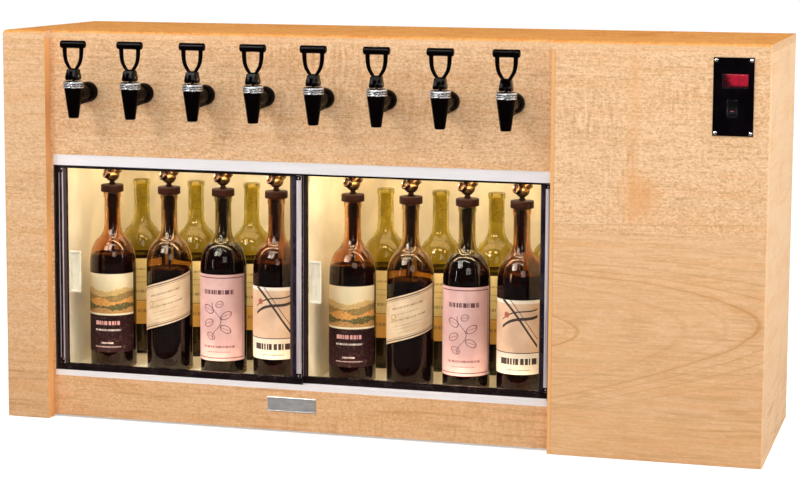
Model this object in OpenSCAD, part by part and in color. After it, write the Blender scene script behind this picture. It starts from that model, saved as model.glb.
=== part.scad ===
// Countertop wine preservation dispenser: a maple cabinet with a chilled
// two-zone bottle chamber behind bypass sliding glass doors, eight
// self-closing loop-handled taps, and a machine section on the right.
// Millimetres, +Z up. The origin is the middle of the underside; the front
// faces -Y. Working coordinates inside at() run from the left front bottom
// corner: x to the right, y to the back, z up.

/* [Cabinet] */
// Overall width of the cabinet
cab_w = 1220; // [1218:0.5:1226]
// Overall depth of the cabinet, without the taps
cab_d = 367; // [366:0.5:372]
// Overall height of the cabinet
cab_h = 628; // [628:0.5:632]
// Thickness of the maple boards
board = 19; // [18:0.5:19]
// Width of the left front stile
stile_w = 73; // [66:0.5:75]
// Left edge of the machine section's front board
mach_x = 895.5; // [894:0.5:898]
// How far the tapped front board sits behind the front plane
recess = 19; // [19:0.5:20]
// Radius of the rounded top front edge
round_r = 13; // [6:0.5:16]
// Radius of the eased outer corners
ease_r = 3; // [1:0.5:4]

/* [Chamber] */
// Left edge of the door opening
open_x0 = 77; // [76:0.5:77]
// Right edge of the door opening
open_x1 = 892; // [892:0.5:893]
// Bottom edge of the door opening
open_z0 = 68.5; // [67:0.5:68.5]
// Top edge of the door opening
open_z1 = 429.5; // [429.5:0.5:430]
// Height of the chamber floor
floor_z = 70; // [68:0.5:70]
// Thickness of the chamber liner
liner_t = 10; // [8:0.5:12]
// Thickness of the divider between the two zones
divider_t = 12; // [8:0.5:12]

/* [Doors] */
// Width of each sliding door
door_w = 417; // [412:0.5:417]
// Thickness of the door frames
door_t = 8; // [7:0.5:8]
// Thickness of the door glass
glass_t = 4; // [3:0.5:5]
// Width of the outer stile of a door
door_stile = 18; // [14:0.5:20]
// Height of the bottom rail of a door
door_rail = 16.5; // [12:0.5:18]

/* [Taps] */
// Height of the tap bodies' middle
tap_z = 527; // [515:0.5:530]
// Distance of the spout axis in front of the tapped board
tap_reach = 58; // [52:0.5:62]
// Radius of the threaded shank
shank_r = 11; // [9:0.5:11]
// Radius of the bulb against the board
bulb_r = 16.4; // [15:0.1:17]
// Lift of the valve stem when the handle is pulled
stem_lift = 5; // [3:0.5:6]
// Width of the handle grip
grip_w = 41.6; // [36:0.1:46]

/* [Bottles] */
// Height of a bottle
bottle_h = 290; // [285:0.5:292]
// Radius of a bottle
bottle_r = 37.8; // [36:0.1:38]
// Distance of the served bottles behind the front plane
front_row_y = 115; // [110:0.5:120]
// Distance of the reserve bottles behind the front plane
back_row_y = 250; // [245:0.5:255]

/* [Hidden] */
$fn = 64;

top_z = cab_h - board;                 // underside of the top board
rim_z = cab_h - round_r;               // top of the upright boards
front_y = recess;                      // face of the tapped board
spout_y = front_y - tap_reach;         // axis of the spouts
tap_x = [140.3, 235.8, 339.1, 438.2, 535.3, 635.3, 734.4, 835.4];
serve_x = [138, 238, 332, 423, 552, 648, 740, 828];
reserve_x = [134, 233, 333, 432, 568, 662, 756, 850];
fill_h = [188, 168, 214, 186, 188, 168, 214, 186];  // wine levels, served
reserve_fill = 168;
outer_y = front_y + 4;                 // front face of the outer door
inner_y = front_y + 16;                // front face of the inner door
door_z0 = open_z0 + 3;                 // underside of the doors
door_z1 = open_z1 - 6.5;               // top of the doors
left_door_x = open_x0 + 2;
right_door_x = open_x1 - 2 - door_w;
meet_stile = 28;                       // inner door's stile at the meeting
pull_w = 8;                            // width of the polished pull strips
liner_y0 = front_y + 27;
liner_y1 = 340;
part_x = mach_x + 9.5;                 // left face of the partition
back_y = cab_d - 15;                   // front face of the back board
barrel_z = tap_z + 4.5;                // axis of the shanks
pin_z = tap_z + 32.8;                  // handle pivot pin
cam_e = stem_lift / sin(60);           // cam offset that lifts the stem
cond_c = [1062.5, 162.5];              // condenser fan axis, x and z
evap_c = [820, 282];                   // evaporator fan axis, x and y

wood = [0.87, 0.70, 0.49];
black = [0.06, 0.06, 0.06];
ivory = [0.95, 0.90, 0.76];
silver = [0.82, 0.82, 0.84];

module at() { translate([-cab_w / 2, -cab_d / 2, 0]) children(); }

// Box between two corners
module bx(a, b) { translate(a) cube(b - a); }

// Cylinder along Y from y0 to y1
module ycyl(x, z, y0, y1, r, r2 = undef)
  translate([x, y0, z]) rotate([-90, 0, 0])
    cylinder(h = y1 - y0, r1 = r, r2 = is_undef(r2) ? r : r2);

// Cylinder along X from x0 to x1
module xcyl(y, z, x0, x1, r)
  translate([x0, y, z]) rotate([0, 90, 0]) cylinder(h = x1 - x0, r = r);

// The whole cabinet's plan with eased corners
module plan2d() {
  translate([ease_r, 0]) square([cab_w - 2 * ease_r, cab_d]);
  translate([0, ease_r]) square([cab_w, cab_d - 2 * ease_r]);
  for (x = [ease_r, cab_w - ease_r], y = [ease_r, cab_d - ease_r])
    translate([x, y]) circle(ease_r);
}

// A board cut from the plan, between two heights
module plan_board(pts, z0, z1)
  translate([0, 0, z0]) linear_extrude(z1 - z0)
    intersection() { plan2d(); polygon(pts); }

// ---- swept tubes ----
function unit(v) = v / norm(v);
function mix(a, b, t) = a * (1 - t) + b * t;
// Rounds the corners of a hand-made route with quadratic curves
function route(p, r, n = 4) = concat([p[0]], [
  for (i = [1 : 1 : len(p) - 2])
    let (a = p[i] + unit(p[i - 1] - p[i]) * r,
         b = p[i] + unit(p[i + 1] - p[i]) * r)
    for (k = [0 : n]) let (t = k / n)
      mix(mix(a, p[i], t), mix(p[i], b, t), t)], [p[len(p) - 1]]);
function ring_at(p, i, r, n, ref) =
  let (t = unit(p[min(i + 1, len(p) - 1)] - p[max(i - 1, 0)]),
       u = unit(cross(t, ref)), w = cross(t, u))
  [for (k = [0 : n - 1]) let (a = 360 * k / n)
    p[i] + u * (r * cos(a)) + w * (r * sin(a))];
module tube(p, r, ref = [1, 0, 0], n = 8) {
  m = len(p);
  pts = [for (i = [0 : m - 1]) each ring_at(p, i, r, n, ref)];
  faces = concat(
    [[for (k = [0 : n - 1]) k]],
    [for (i = [0 : m - 2]) for (k = [0 : n - 1]) let (j = (k + 1) % n)
      [i * n + k, (i + 1) * n + k, (i + 1) * n + j, i * n + j]],
    [[for (k = [n - 1 : -1 : 0]) (m - 1) * n + k]]);
  polyhedron(points = pts, faces = faces);
}

// ================= cabinet =================

// Stretch of the top board's upper layer, its front edge rounded over
module top_layer(x0, x1, y0)
  translate([x0, 0, 0]) rotate([90, 0, 90]) linear_extrude(x1 - x0) {
    translate([y0 + round_r, rim_z]) square([cab_d - round_r - y0, round_r]);
    intersection() {
      translate([y0 + round_r, rim_z]) circle(round_r, $fn = 96);
      translate([y0, rim_z]) square([round_r + 1, round_r]);
    }
  }

// Top board, set back over the tapped board and rebated onto the uprights
module top_panel() {
  color(wood) at() {
    intersection() {
      union() {
        top_layer(0, stile_w, 0);
        top_layer(stile_w, mach_x, front_y);
        top_layer(mach_x, cab_w, 0);
      }
      translate([0, 0, top_z - 1]) linear_extrude(board + 2) plan2d();
    }
    bx([board, front_y + board, top_z], [cab_w - board, cab_d, rim_z]);
    bx([part_x, board, top_z], [cab_w - board, front_y + board + 1, rim_z]);
  }
}

module base_panel() {
  color(wood) at() {
    bx([board, front_y + board, 0], [cab_w - board, back_y, board]);
    bx([part_x, board, 0], [cab_w - board, front_y + board + 1, board]);
  }
}

// Side boards, mitred to the front boards
module left_side_panel() {
  color(wood) at() plan_board([[-1, -1], [board, board], [board, cab_d + 1], [-1, cab_d + 1]], 0, rim_z);
}

module right_side_panel() {
  color(wood) at() plan_board([[cab_w + 1, -1], [cab_w + 1, cab_d + 1],
    [cab_w - board, cab_d + 1], [cab_w - board, board]], 0, rim_z);
}

module left_stile() {
  color(wood) at() plan_board([[-1, -1], [stile_w, -1], [stile_w, board], [board, board]], 0, rim_z);
}

// Recessed board with the door opening and the shank holes
module front_panel() {
  color(wood) at() difference() {
    bx([board, front_y, 3], [part_x, front_y + board, rim_z]);
    bx([open_x0, front_y - 1, open_z0], [open_x1, front_y + board + 1, open_z1]);
    for (x = tap_x) ycyl(x, barrel_z, front_y - 1, front_y + board + 1, shank_r + 0.5);
  }
}

// Front board of the machine section with the control cut-out
module machine_front_panel() {
  color(wood) at() difference() {
    plan_board([[mach_x, -1], [cab_w + 1, -1], [cab_w - board, board], [mach_x, board]], 0, rim_z);
    bx([1140, -1, 500], [1191.5, board + 1, 602]);
  }
}

module partition_panel() {
  color(wood) at() difference() {
    bx([part_x, board, board], [part_x + board, back_y, top_z]);
    bx([part_x - 1, 180, 540], [part_x + board + 1, 240, 590]);
  }
}

// Back board with louvre slots, the inlet cut-outs and screw holes
module back_panel() {
  color(wood) at() difference() {
    bx([board, back_y, 0], [cab_w - board, back_y + 12, top_z]);
    for (i = [0 : 8])
      bx([970, back_y - 1, 68 + i * 22], [1155, back_y + 13, 76 + i * 22]);
    for (i = [0 : 3])
      bx([970, back_y - 1, 420 + i * 22], [1155, back_y + 13, 428 + i * 22]);
    bx([1131, back_y - 1, 322], [1180, back_y + 13, 350]);
    ycyl(960, 336, back_y - 1, back_y + 13, 7);
  }
}

// ================= chamber =================

module chamber_liner() {
  x0 = open_x0 - 1; x1 = open_x1 + 1; c0 = floor_z; c1 = floor_z + 358;
  dx = right_door_x + meet_stile - 16; g = 0.2;
  color(ivory) at() {
    // floor and its two bearers
    bx([x0 - liner_t, liner_y0, c0 - liner_t], [x1 + liner_t, liner_y1, c0]);
    for (y = [80, 270])
      bx([x0 - liner_t, y, board], [x1 + liner_t, y + 30, c0 - liner_t - g]);
    // walls and divider
    bx([x0 - liner_t, liner_y0, c0 + g], [x0, liner_y1 - liner_t - g, c1 - g]);
    bx([x1, liner_y0, c0 + g], [x1 + liner_t, liner_y1 - liner_t - g, c1 - g]);
    bx([x0 - liner_t, liner_y1 - liner_t, c0 + g], [x1 + liner_t, liner_y1, c1 - g]);
    bx([dx, liner_y0, c0 + g], [dx + divider_t, liner_y1 - liner_t - g, c1 - g]);
    // ceiling with a pass-through above each served bottle and the fan hole
    difference() {
      bx([x0 - liner_t, liner_y0, c1], [x1 + liner_t, liner_y1, c1 + liner_t]);
      for (x = serve_x) translate([x, front_row_y + 4, c1 - 1])
        cylinder(h = liner_t + 2, r = 20);
      translate([evap_c[0], evap_c[1], c1 - 1]) cylinder(h = liner_t + 2, r = 48);
    }
  }
}

// Slim lamp hidden behind the top track, with its two end holders
module chamber_lamp() {
  color([1, 0.95, 0.8]) at() {
    xcyl(57, 419, 110, 470, 6);
    xcyl(57, 419, 512, 868, 6);
    for (x = [100, 470, 502, 868]) bx([x, 49, 411], [x + 10, 65, 428]);
  }
}

// Deep two-groove upper track
module door_track_top() {
  color(silver) at() {
    rotate([90, 0, 90]) translate([0, 0, open_x0]) linear_extrude(open_x1 - open_x0) {
      translate([front_y + 1, open_z1 - 4]) square([26, 4]);
      for (y = [1, 13, 25]) translate([front_y + y, open_z1 - 17.5]) square([2, 15]);
    }
  }
}

// Shallow two-groove lower track
module door_track_bottom() {
  color(silver) at() {
    rotate([90, 0, 90]) translate([0, 0, open_x0]) linear_extrude(open_x1 - open_x0) {
      translate([front_y + 1, open_z0]) square([26, 2]);
      for (y = [1, 13, 25]) translate([front_y + y, open_z0]) square([2, 9]);
    }
  }
}

// Side jambs with a lip at the front
module door_jambs() {
  z0 = open_z0 + 9; z1 = open_z1 - 17.5;
  color(black) at() {
    bx([open_x0, front_y + 1, z0], [open_x0 + 1.4, front_y + 27, z1]);
    bx([open_x1 - 1.4, front_y + 1, z0], [open_x1, front_y + 27, z1]);
  }
}

// ================= doors =================

// Frame in its own coordinates: x from the door's left edge, y from its front
module door_frame(x, y, left_w) {
  rx = door_w - 2 * pull_w;
  color([0.12, 0.09, 0.08]) at() translate([x, y, 0]) {
    // rails run the full width, stiles stand between them
    bx([0, 0, door_z0], [door_w, door_t, door_z0 + door_rail]);
    bx([0, 0, door_z1 - 14], [door_w, door_t, door_z1]);
    bx([0, 0, door_z0 + door_rail + 0.1], [left_w, door_t, door_z1 - 14.1]);
    bx([rx, 0, door_z0 + door_rail + 0.1], [rx + pull_w - 0.1, door_t, door_z1 - 14.1]);
  }
  // polished pull strip with a curved face, standing between the rails
  color(silver) at() translate([x, y, 0])
    translate([rx + pull_w, 0, door_z0 + door_rail + 0.1]) {
      linear_extrude(door_z1 - door_z0 - door_rail - 14.2) {
        translate([0, -0.5]) square([pull_w, door_t + 0.5]);
        translate([pull_w / 2, -0.5]) intersection() {
          translate([0, 1.7]) circle(4.6);
          translate([-pull_w / 2, -3]) square([pull_w, 3]);
        }
      }
    }
}

// Recessed finger pull stuck on the glass, in absolute x and y
module finger_pull(x, y, t) {
  color(ivory) at() difference() {
    bx([x, y - t, 206], [x + 19.5, y, 273]);
    bx([x + 2.5, y - t - 1, 209], [x + 17, y - 1.2, 270]);
  }
}

module door_glass(x, y, left_w) {
  color([0.8, 0.9, 0.9, 0.3]) at()
    bx([x + left_w, y + (door_t - glass_t) / 2, door_z0 + door_rail],
       [x + door_w - 2 * pull_w, y + (door_t + glass_t) / 2, door_z1 - 14]);
}

module left_door_frame() { door_frame(left_door_x, outer_y, door_stile); }
module left_door_glass() { door_glass(left_door_x, outer_y, door_stile); }
module left_door_pull() { finger_pull(left_door_x + 23, outer_y + 2, 4.5); }
module right_door_frame() { door_frame(right_door_x, inner_y, meet_stile); }
module right_door_glass() { door_glass(right_door_x, inner_y, meet_stile); }
module right_door_pull() { finger_pull(right_door_x + 32, inner_y + 2, 4.5); }

// ================= taps =================

// One tap body: bulb and barrel along Y, spout down, shank through the board
module tap_body(x) {
  h = barrel_z - tap_z;
  translate([x, 0, tap_z]) difference() {
    union() {
      difference() {
        // turned bulb against the board and its neck
        translate([0, front_y, h]) rotate([90, 0, 0]) rotate_extrude()
          polygon(concat([[0, 0], [bulb_r - 0.8, 0]],
            [for (a = [0 : 10 : 80]) [11.4 + (bulb_r - 11.4) * cos(a), 2.5 + 15 * sin(a)]],
            [[11.4, 21], [10.8, 46], [0, 46]]));
        // room for the bonnet
        translate([0, spout_y, 14.6]) cylinder(h = 30, r = 17.1);
      }
      // spout, wider at its top
      translate([0, spout_y, -33]) cylinder(h = 47.6, r1 = 7.9, r2 = 14.6);
      // web under the barrel
      translate([-7, 0, 0]) rotate([90, 0, 90]) linear_extrude(14)
        polygon([[14, -4], [spout_y, -4], [spout_y, -27.5], [spout_y + 6, -25.5],
                 [spout_y + 11, -21.8], [spout_y + 17, -19], [spout_y + 26, -16.4],
                 [-3, -14], [6, -12], [14, -9.5]]);
      ycyl(0, h, front_y, front_y + 47, shank_r);
    }
    // valve chamber, spout mouth and wine passage
    translate([0, spout_y, -21.9]) cylinder(h = 40, r = 8.2);
    translate([0, spout_y, -34]) cylinder(h = 14, r = 5.5);
    ycyl(0, h, spout_y, front_y + 48, 4);
  }
}

module tap_bodies() {
  color(black) at() for (x = tap_x) tap_body(x);
}

// Ribbed bright collar with a low crown, bored for the stem, hollow for the spring
module tap_bonnets() {
  color(silver) at() for (x = tap_x)
    translate([x, spout_y, tap_z]) difference() {
      union() {
        translate([0, 0, 14.6]) cylinder(h = 2.2, r = 16.1);
        translate([0, 0, 16.8]) cylinder(h = 1.2, r = 15.1);
        translate([0, 0, 18]) cylinder(h = 2.6, r = 16.8);
        translate([0, 0, 20.6]) cylinder(h = 1.2, r = 15.1);
        translate([0, 0, 21.8]) cylinder(h = 2.8, r = 16.8);
        translate([0, 0, 24.6]) cylinder(h = 1.4, r1 = 14.6, r2 = 12.8);
      }
      translate([0, 0, 12]) cylinder(h = 7, r = 8.2);
      cylinder(h = 40, r = 2.55);
    }
}

module shank_nuts() {
  color([0.75, 0.72, 0.62]) at() for (x = tap_x) difference() {
    ycyl_hex(x);
    ycyl(x, barrel_z, front_y + board - 1, front_y + board + 12, shank_r + 0.1);
  }
}
module ycyl_hex(x)
  translate([x, front_y + board, barrel_z]) rotate([-90, 0, 0]) cylinder(h = 9, r = 17, $fn = 6);

// Closing springs, each a stack of coils between the valve cup and the bonnet
module bonnet_springs() {
  color([0.7, 0.7, 0.7]) at() for (x = tap_x)
    for (i = [0 : 5]) translate([x, spout_y, tap_z - 6 + i * 4.4])
      rotate_extrude() translate([5.6, 0]) circle(0.8, $fn = 16);
}

// Handle: cam foot and yoke, two arms and a grip; the pin is part of it
module lever(x) {
  color(black) at() translate([x, spout_y, pin_z]) {
    difference() {
      union() {
        // yoke: cam foot in side view, tapered in front view
        intersection() {
          translate([-12, 0, 0]) rotate([90, 0, 90]) linear_extrude(24) {
            for (s = [-1, 1]) translate([s * cam_e, 0]) circle(6);
            translate([-cam_e, -6]) square([2 * cam_e, 12]);
            polygon([[-11.7, 1.2], [11.7, 1.2], [9.6, 4.2], [8.8, 9.8], [7.6, 11],
                     [-7.6, 11], [-8.8, 9.8], [-9.6, 4.2]]);
          }
          translate([0, 20, 0]) rotate([90, 0, 0]) linear_extrude(40)
            polygon([[-9.6, -7], [9.6, -7], [7.7, 11], [-7.7, 11]]);
        }
        // loop with its finger opening
        translate([0, 3.2, 0]) rotate([90, 0, 0]) linear_extrude(6.4)
          difference() {
            polygon(concat(loop_side(loop_out, 1), loop_side(rev(loop_out), -1)));
            polygon(concat(loop_side(loop_in, 1), loop_side(rev(loop_in), -1)));
          }
        // grip bar with eased ends
        xcyl(0, 49.8, -grip_w / 2 + 1.5, grip_w / 2 - 1.5, 6);
        for (s = [-1, 1]) translate([s * (grip_w / 2 - 1.5), 0, 49.8])
          rotate([0, s * 90, 0]) cylinder(h = 1.5, r1 = 6, r2 = 4.5);
      }
      // slot for the stem's eye
      translate([-2.8, -20, -20]) cube([5.6, 40, 25.4]);
    }
    xcyl(0, 0, -8, 8, 1.5);
  }
}
loop_out = [[7.2, 8], [8.8, 13], [13.4, 23.4], [16, 32], [17.2, 40], [17.6, 48]];
loop_in = [[1.2, 13.4], [5, 16.8], [8.6, 24], [10.2, 32], [11, 40], [11.2, 44.2]];
function loop_side(p, s) = [for (q = p) [q[0] * s, q[1]]];
function rev(p) = [for (i = [len(p) - 1 : -1 : 0]) p[i]];

module lever_1() { lever(tap_x[0]); }
module lever_2() { lever(tap_x[1]); }
module lever_3() { lever(tap_x[2]); }
module lever_4() { lever(tap_x[3]); }
module lever_5() { lever(tap_x[4]); }
module lever_6() { lever(tap_x[5]); }
module lever_7() { lever(tap_x[6]); }
module lever_8() { lever(tap_x[7]); }

// Valve stem: seat cup at the foot, rod, and an eye for the handle's pin
module stem(x) {
  color([0.3, 0.3, 0.3]) at() translate([x, spout_y, 0]) difference() {
    union() {
      translate([0, 0, tap_z - 21.8]) cylinder(h = 11.8, r = 7);
      translate([0, 0, tap_z - 12]) cylinder(h = pin_z - tap_z + 9.4, r = 2.5);
      translate([-2.5, 0, pin_z]) xcyl(0, 0, 0, 5, 4.4);
    }
    xcyl(0, pin_z, -4, 4, 1.55);
  }
}
module stem_1() { stem(tap_x[0]); }
module stem_2() { stem(tap_x[1]); }
module stem_3() { stem(tap_x[2]); }
module stem_4() { stem(tap_x[3]); }
module stem_5() { stem(tap_x[4]); }
module stem_6() { stem(tap_x[5]); }
module stem_7() { stem(tap_x[6]); }
module stem_8() { stem(tap_x[7]); }

// ================= control panel =================

module control_plate() {
  color(black) at() difference() {
    bx([1136, -2, 493.5], [1195.5, 0, 608.5]);
    bx([1149, -3, 564], [1187, 1, 584.5]);
    bx([1156.6, -3, 521.4], [1172.4, 1, 546.6]);
  }
}

module display_window() {
  color([0.7, 0.05, 0.12]) at() bx([1149, -2.6, 564], [1187, 3, 584.5]);
}

// Rocker: shallow two-faced paddle on side trunnions, at rest with one half in
module rocker_switch() {
  color(black) at() translate([1164.5, 5, 534]) rotate([-9, 0, 0]) {
    translate([-7.3, 0, 0]) rotate([90, 0, 90]) linear_extrude(14.6)
      polygon([[-7.6, 10.4], [-6, 0], [-7.6, -10.4], [-2, -10.4], [4, -4], [4, 4], [-2, 10.4]]);
    xcyl(0, 0, -9.4, 9.4, 1.5);
  }
}

// Circuit box behind the plate, carrying the display and the switch housing
module controller_box() {
  color([0.2, 0.2, 0.22]) at() {
    difference() {
      bx([1141, 0, 504], [1190.5, 64, 600]);
      bx([1148.5, -1, 563], [1187.5, 10, 585.5]);
      bx([1156.6, -1, 519.5], [1172.4, 18, 548.5]);
      xcyl(5, 534, 1154.5, 1174.5, 1.55);
    }
  }
}

// Plate screws, back board screws and track screws
module screws() {
  color(silver) at() {
    for (x = [1140.2, 1191.3], z = [497.7, 604.3]) ycyl(x, z, -4, -2, 2, 2.7);
    for (x = [34, 330, 630, 890, 1186], z = [12, 590])
      ycyl(x, z, back_y + 12, back_y + 14, 4.2, 2.6);
  }
}

module name_plate() {
  color(silver) at() bx([441, front_y - 1.6, 33], [521, front_y, 56]);
}

// ================= bottles and stoppers =================

function sh(a) = [bottle_r - 24.5 + 24.5 * cos(a), 172 + 46 * sin(a)];
bottle_out = concat([[bottle_r - 2.5, 0], [bottle_r, 3]],
  [for (a = [0 : 9 : 72]) sh(a)],
  [[18.6, 220], [15.6, 225], [14, 231], [13.2, 240], [13.2, bottle_h - 9],
   [14.2, bottle_h - 8], [14.2, bottle_h]]);
bottle_in = concat([[0, 18], [8, 15], [22, 7], [bottle_r - 4.6, 6]],
  [for (a = [0 : 9 : 72]) sh(a) - [2.4, 0]],
  [[16.2, 219], [13.2, 224], [11.4, 231], [9.3, 240], [9.3, bottle_h]]);

// Glass shell with a punt under it
module bottle() {
  rotate_extrude()
    polygon(concat([[0, 14], [8, 11.5], [22, 3], [26, 0]], bottle_out, rev(bottle_in)));
}

// Wine inside the glass up to a level
module wine(h, bore) {
  difference() {
    rotate_extrude() intersection() {
      polygon(concat(bottle_in, [[0, bottle_h]]));
      square([50, h]);
    }
    if (bore > 0) translate([0, 0, -1]) cylinder(h = 300, r = bore);
  }
}

module bottles() {
  color([0.25, 0.35, 0.12, 0.6]) at() {
    for (x = serve_x) translate([x, front_row_y, floor_z]) bottle();
    for (x = reserve_x) translate([x, back_row_y, floor_z]) bottle();
  }
}

module wine_fill() {
  color([0.25, 0.02, 0.05]) at() {
    for (i = [0 : 7]) translate([serve_x[i], front_row_y, floor_z]) wine(fill_h[i], 2.6);
    for (x = reserve_x) translate([x, back_row_y, floor_z]) wine(reserve_fill, 0);
  }
}

// Paper labels: height range on the bottle, and the arc each covers
module label(z0, z1, a0, a1)
  translate([0, 0, z0]) rotate([0, 0, a0]) rotate_extrude(angle = a1 - a0)
    translate([bottle_r + 0.05, 0]) square([0.3, z1 - z0]);

module bottle_labels() {
  z = [[28, 158], [64, 166], [25, 166], [33, 150]];
  color([0.95, 0.90, 0.78]) at() {
    for (i = [0 : 7]) translate([serve_x[i], front_row_y, floor_z])
      label(z[i % 4][0], z[i % 4][1], -158, -8);
    for (x = reserve_x) translate([x, back_row_y, floor_z]) label(52, 164, -165, -15);
  }
}

// Stopper: disc on the lip, plug in the neck, a cork in each reserve bottle
module stoppers() {
  color([0.25, 0.10, 0.06]) at() {
    for (x = serve_x) translate([x, front_row_y, floor_z + bottle_h]) difference() {
      union() {
        cylinder(h = 12, r = 18.4);
        translate([0, 0, -26]) cylinder(h = 26, r = 9.2);
      }
      translate([0, 0, -27]) cylinder(h = 40, r = 2.6);
    }
    for (x = reserve_x) translate([x, back_row_y, floor_z + bottle_h - 40])
      cylinder(h = 39, r = 9.2);
  }
}

// Two-way fitting on each stopper, with the dip tube under it
module stopper_fittings() {
  color([0.72, 0.58, 0.35]) at()
    for (x = serve_x) translate([x, front_row_y, floor_z + bottle_h + 12]) {
      translate([0, 0, -280]) cylinder(h = 279.8, r = 2.4);
      cylinder(h = 6, r = 4.2);
      translate([0, 0, 16]) sphere(12);
      for (s = [-1, 1]) translate([0, 0, 17]) rotate([0, s * 52, 0]) {
        translate([0, 0, 8]) cylinder(h = 8, r = 6.6);
      }
      translate([0, 0, 26]) cylinder(h = 8, r = 5);
    }
}

// ================= machine section =================

module compressor() {
  color([0.12, 0.12, 0.13]) at() {
    translate([1062, 150, 0]) {
      translate([0, 0, 40]) rotate_extrude()
        polygon(concat([[0, 0], [60, 0]],
          [for (a = [0 : 15 : 90]) [58 + 12 * sin(a), 12 - 12 * cos(a)]],
          [for (a = [0 : 10 : 90]) [70 * cos(a) , 96 + 40 * sin(a)]]));
      bx([-85, -60, 34], [85, 60, 37.5]);
      for (x = [-74, 74], y = [-48, 48]) translate([x, y, board]) cylinder(h = 15, r = 9);
      translate([0, 0, 37.5]) cylinder(h = 2.5, r = 50);
      bx([70 - 4, -20, 70], [96, 20, 120]);
      for (x = [-52, 48]) translate([x, 0, 140]) cylinder(h = 32, r = 5);
    }
  }
}

// Finned condenser coil, its fan shroud and the motor on three arms
module condenser() {
  cx = cond_c[0]; cz = cond_c[1];
  color([0.6, 0.6, 0.62]) at() {
    bx([958, 304, 58], [964, 344, 267]);
    bx([1161, 304, 58], [1167, 344, 267]);
    for (z = [70 : 24 : 262]) for (y = [314, 334])
      xcyl(y, z, 964, 1161, 4);
    difference() {
      bx([958, 296, 58], [1167, 304, 267]);
      ycyl(cx, cz, 295, 305, 92);
    }
    difference() {
      bx([958, 268, 58], [1167, 296, 267]);
      bx([966, 267, 66], [1159, 297, 259]);
    }
    // motor held by a cross bar
    ycyl(cx, cz, 240, 262, 22);
    ycyl(cx, cz, 262, 292, 3);
    bx([958, 252, cz - 6], [cx - 21, 258, cz + 6]);
    bx([cx + 21, 252, cz - 6], [1167, 258, cz + 6]);
    for (x = [958, 1161]) bx([x, 258, cz - 6], [x + 6, 268, cz + 6]);
    // stand
    bx([958, 268, board], [966, 344, 58]);
    bx([1159, 268, board], [1167, 344, 58]);
  }
}

// Axial fan: hub and pitched blades, bored for the motor shaft
module fan(r, hub, h, n) {
  difference() {
    union() {
      cylinder(h = h, r = hub);
      for (i = [0 : n - 1]) rotate([0, 0, i * 360 / n]) intersection() {
        translate([hub - 2, 0, h / 2]) rotate([28, 0, 0])
          translate([0, -r * 0.24, -1]) cube([r - hub + 2, r * 0.48, 2]);
        cylinder(h = h, r = r);
      }
    }
    translate([0, 0, -1]) cylinder(h = h + 2, r = 3.05);
  }
}

module condenser_fan() {
  color(black) at() translate([cond_c[0], 290, cond_c[1]]) rotate([90, 0, 0]) fan(86, 24, 24, 5);
}

// Evaporator coil above the ceiling, with the fan ring and its motor
module evaporator() {
  c1 = floor_z + 358 + liner_t;
  color([0.75, 0.75, 0.76]) at() {
    for (x = [560, 742]) bx([x, 240, c1], [x + 3, 326, c1 + 74]);
    for (y = [254 : 19 : 311], z = [c1 + 18, c1 + 38, c1 + 58]) xcyl(y, z, 563, 742, 4);
    for (x = [572 : 17 : 733]) difference() {
      bx([x, 244, c1 + 6], [x + 1.2, 322, c1 + 70]);
      for (y = [254 : 19 : 311], z = [c1 + 18, c1 + 38, c1 + 58]) xcyl(y, z, x - 1, x + 3, 4);
    }
    translate([evap_c[0], evap_c[1], c1]) {
      difference() {
        cylinder(h = 30, r = 54);
        translate([0, 0, -1]) cylinder(h = 32, r = 49);
      }
      translate([0, 0, 34]) cylinder(h = 20, r = 16);
      translate([0, 0, 6]) cylinder(h = 28, r = 3);
      for (s = [-1, 1]) {
        bx([min(s * 15, s * 54), -5, 36], [max(s * 15, s * 54), 5, 40]);
        bx([min(s * 49, s * 54), -5, 29], [max(s * 49, s * 54), 5, 36]);
      }
    }
  }
}

module evaporator_fan() {
  c1 = floor_z + 358 + liner_t;
  color(black) at() translate([evap_c[0], evap_c[1], c1 + 8]) fan(45, 15, 20, 5);
}

// Mains inlet socket with three contacts
module power_inlet() {
  color(black) at() translate([1155.5, 0, 336]) {
    difference() {
      union() {
        bx([-29, back_y + 12, -18], [29, cab_d, 18]);
        bx([-24, back_y - 16, -13.5], [24, back_y + 12, 13.5]);
      }
      bx([-12.3, cab_d - 17, -8.3], [12.3, cab_d + 1, 8.3]);
    }
    for (x = [-7, 7]) bx([x - 1, cab_d - 17.5, -5], [x + 1, cab_d - 4, -1]);
    bx([-1, cab_d - 17.5, 2], [1, cab_d - 4, 6]);
  }
}

// Push-in gas inlet for a 6.35 mm tube
module gas_inlet() {
  color([0.75, 0.6, 0.35]) at() difference() {
    union() {
      translate([960, back_y + 12, 336]) rotate([-90, 0, 0]) cylinder(h = 2.2, r = 11, $fn = 6);
      ycyl(960, 336, back_y - 24, cab_d - 0.2, 6.9);
    }
    ycyl(960, 336, cab_d - 16.2, cab_d + 1, 3.2);
  }
}

// Distribution bar with a nipple for each served bottle
module gas_manifold() {
  color([0.75, 0.6, 0.35]) at() {
    bx([110, 150, 566], [870, 164, 580]);
    for (x = serve_x) translate([x + 14, 157, 556]) cylinder(h = 10, r = 3.4);
    for (x = [150, 840]) {
      bx([x, 148, 580], [x + 16, 166, top_z]);
    }
  }
}

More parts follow.
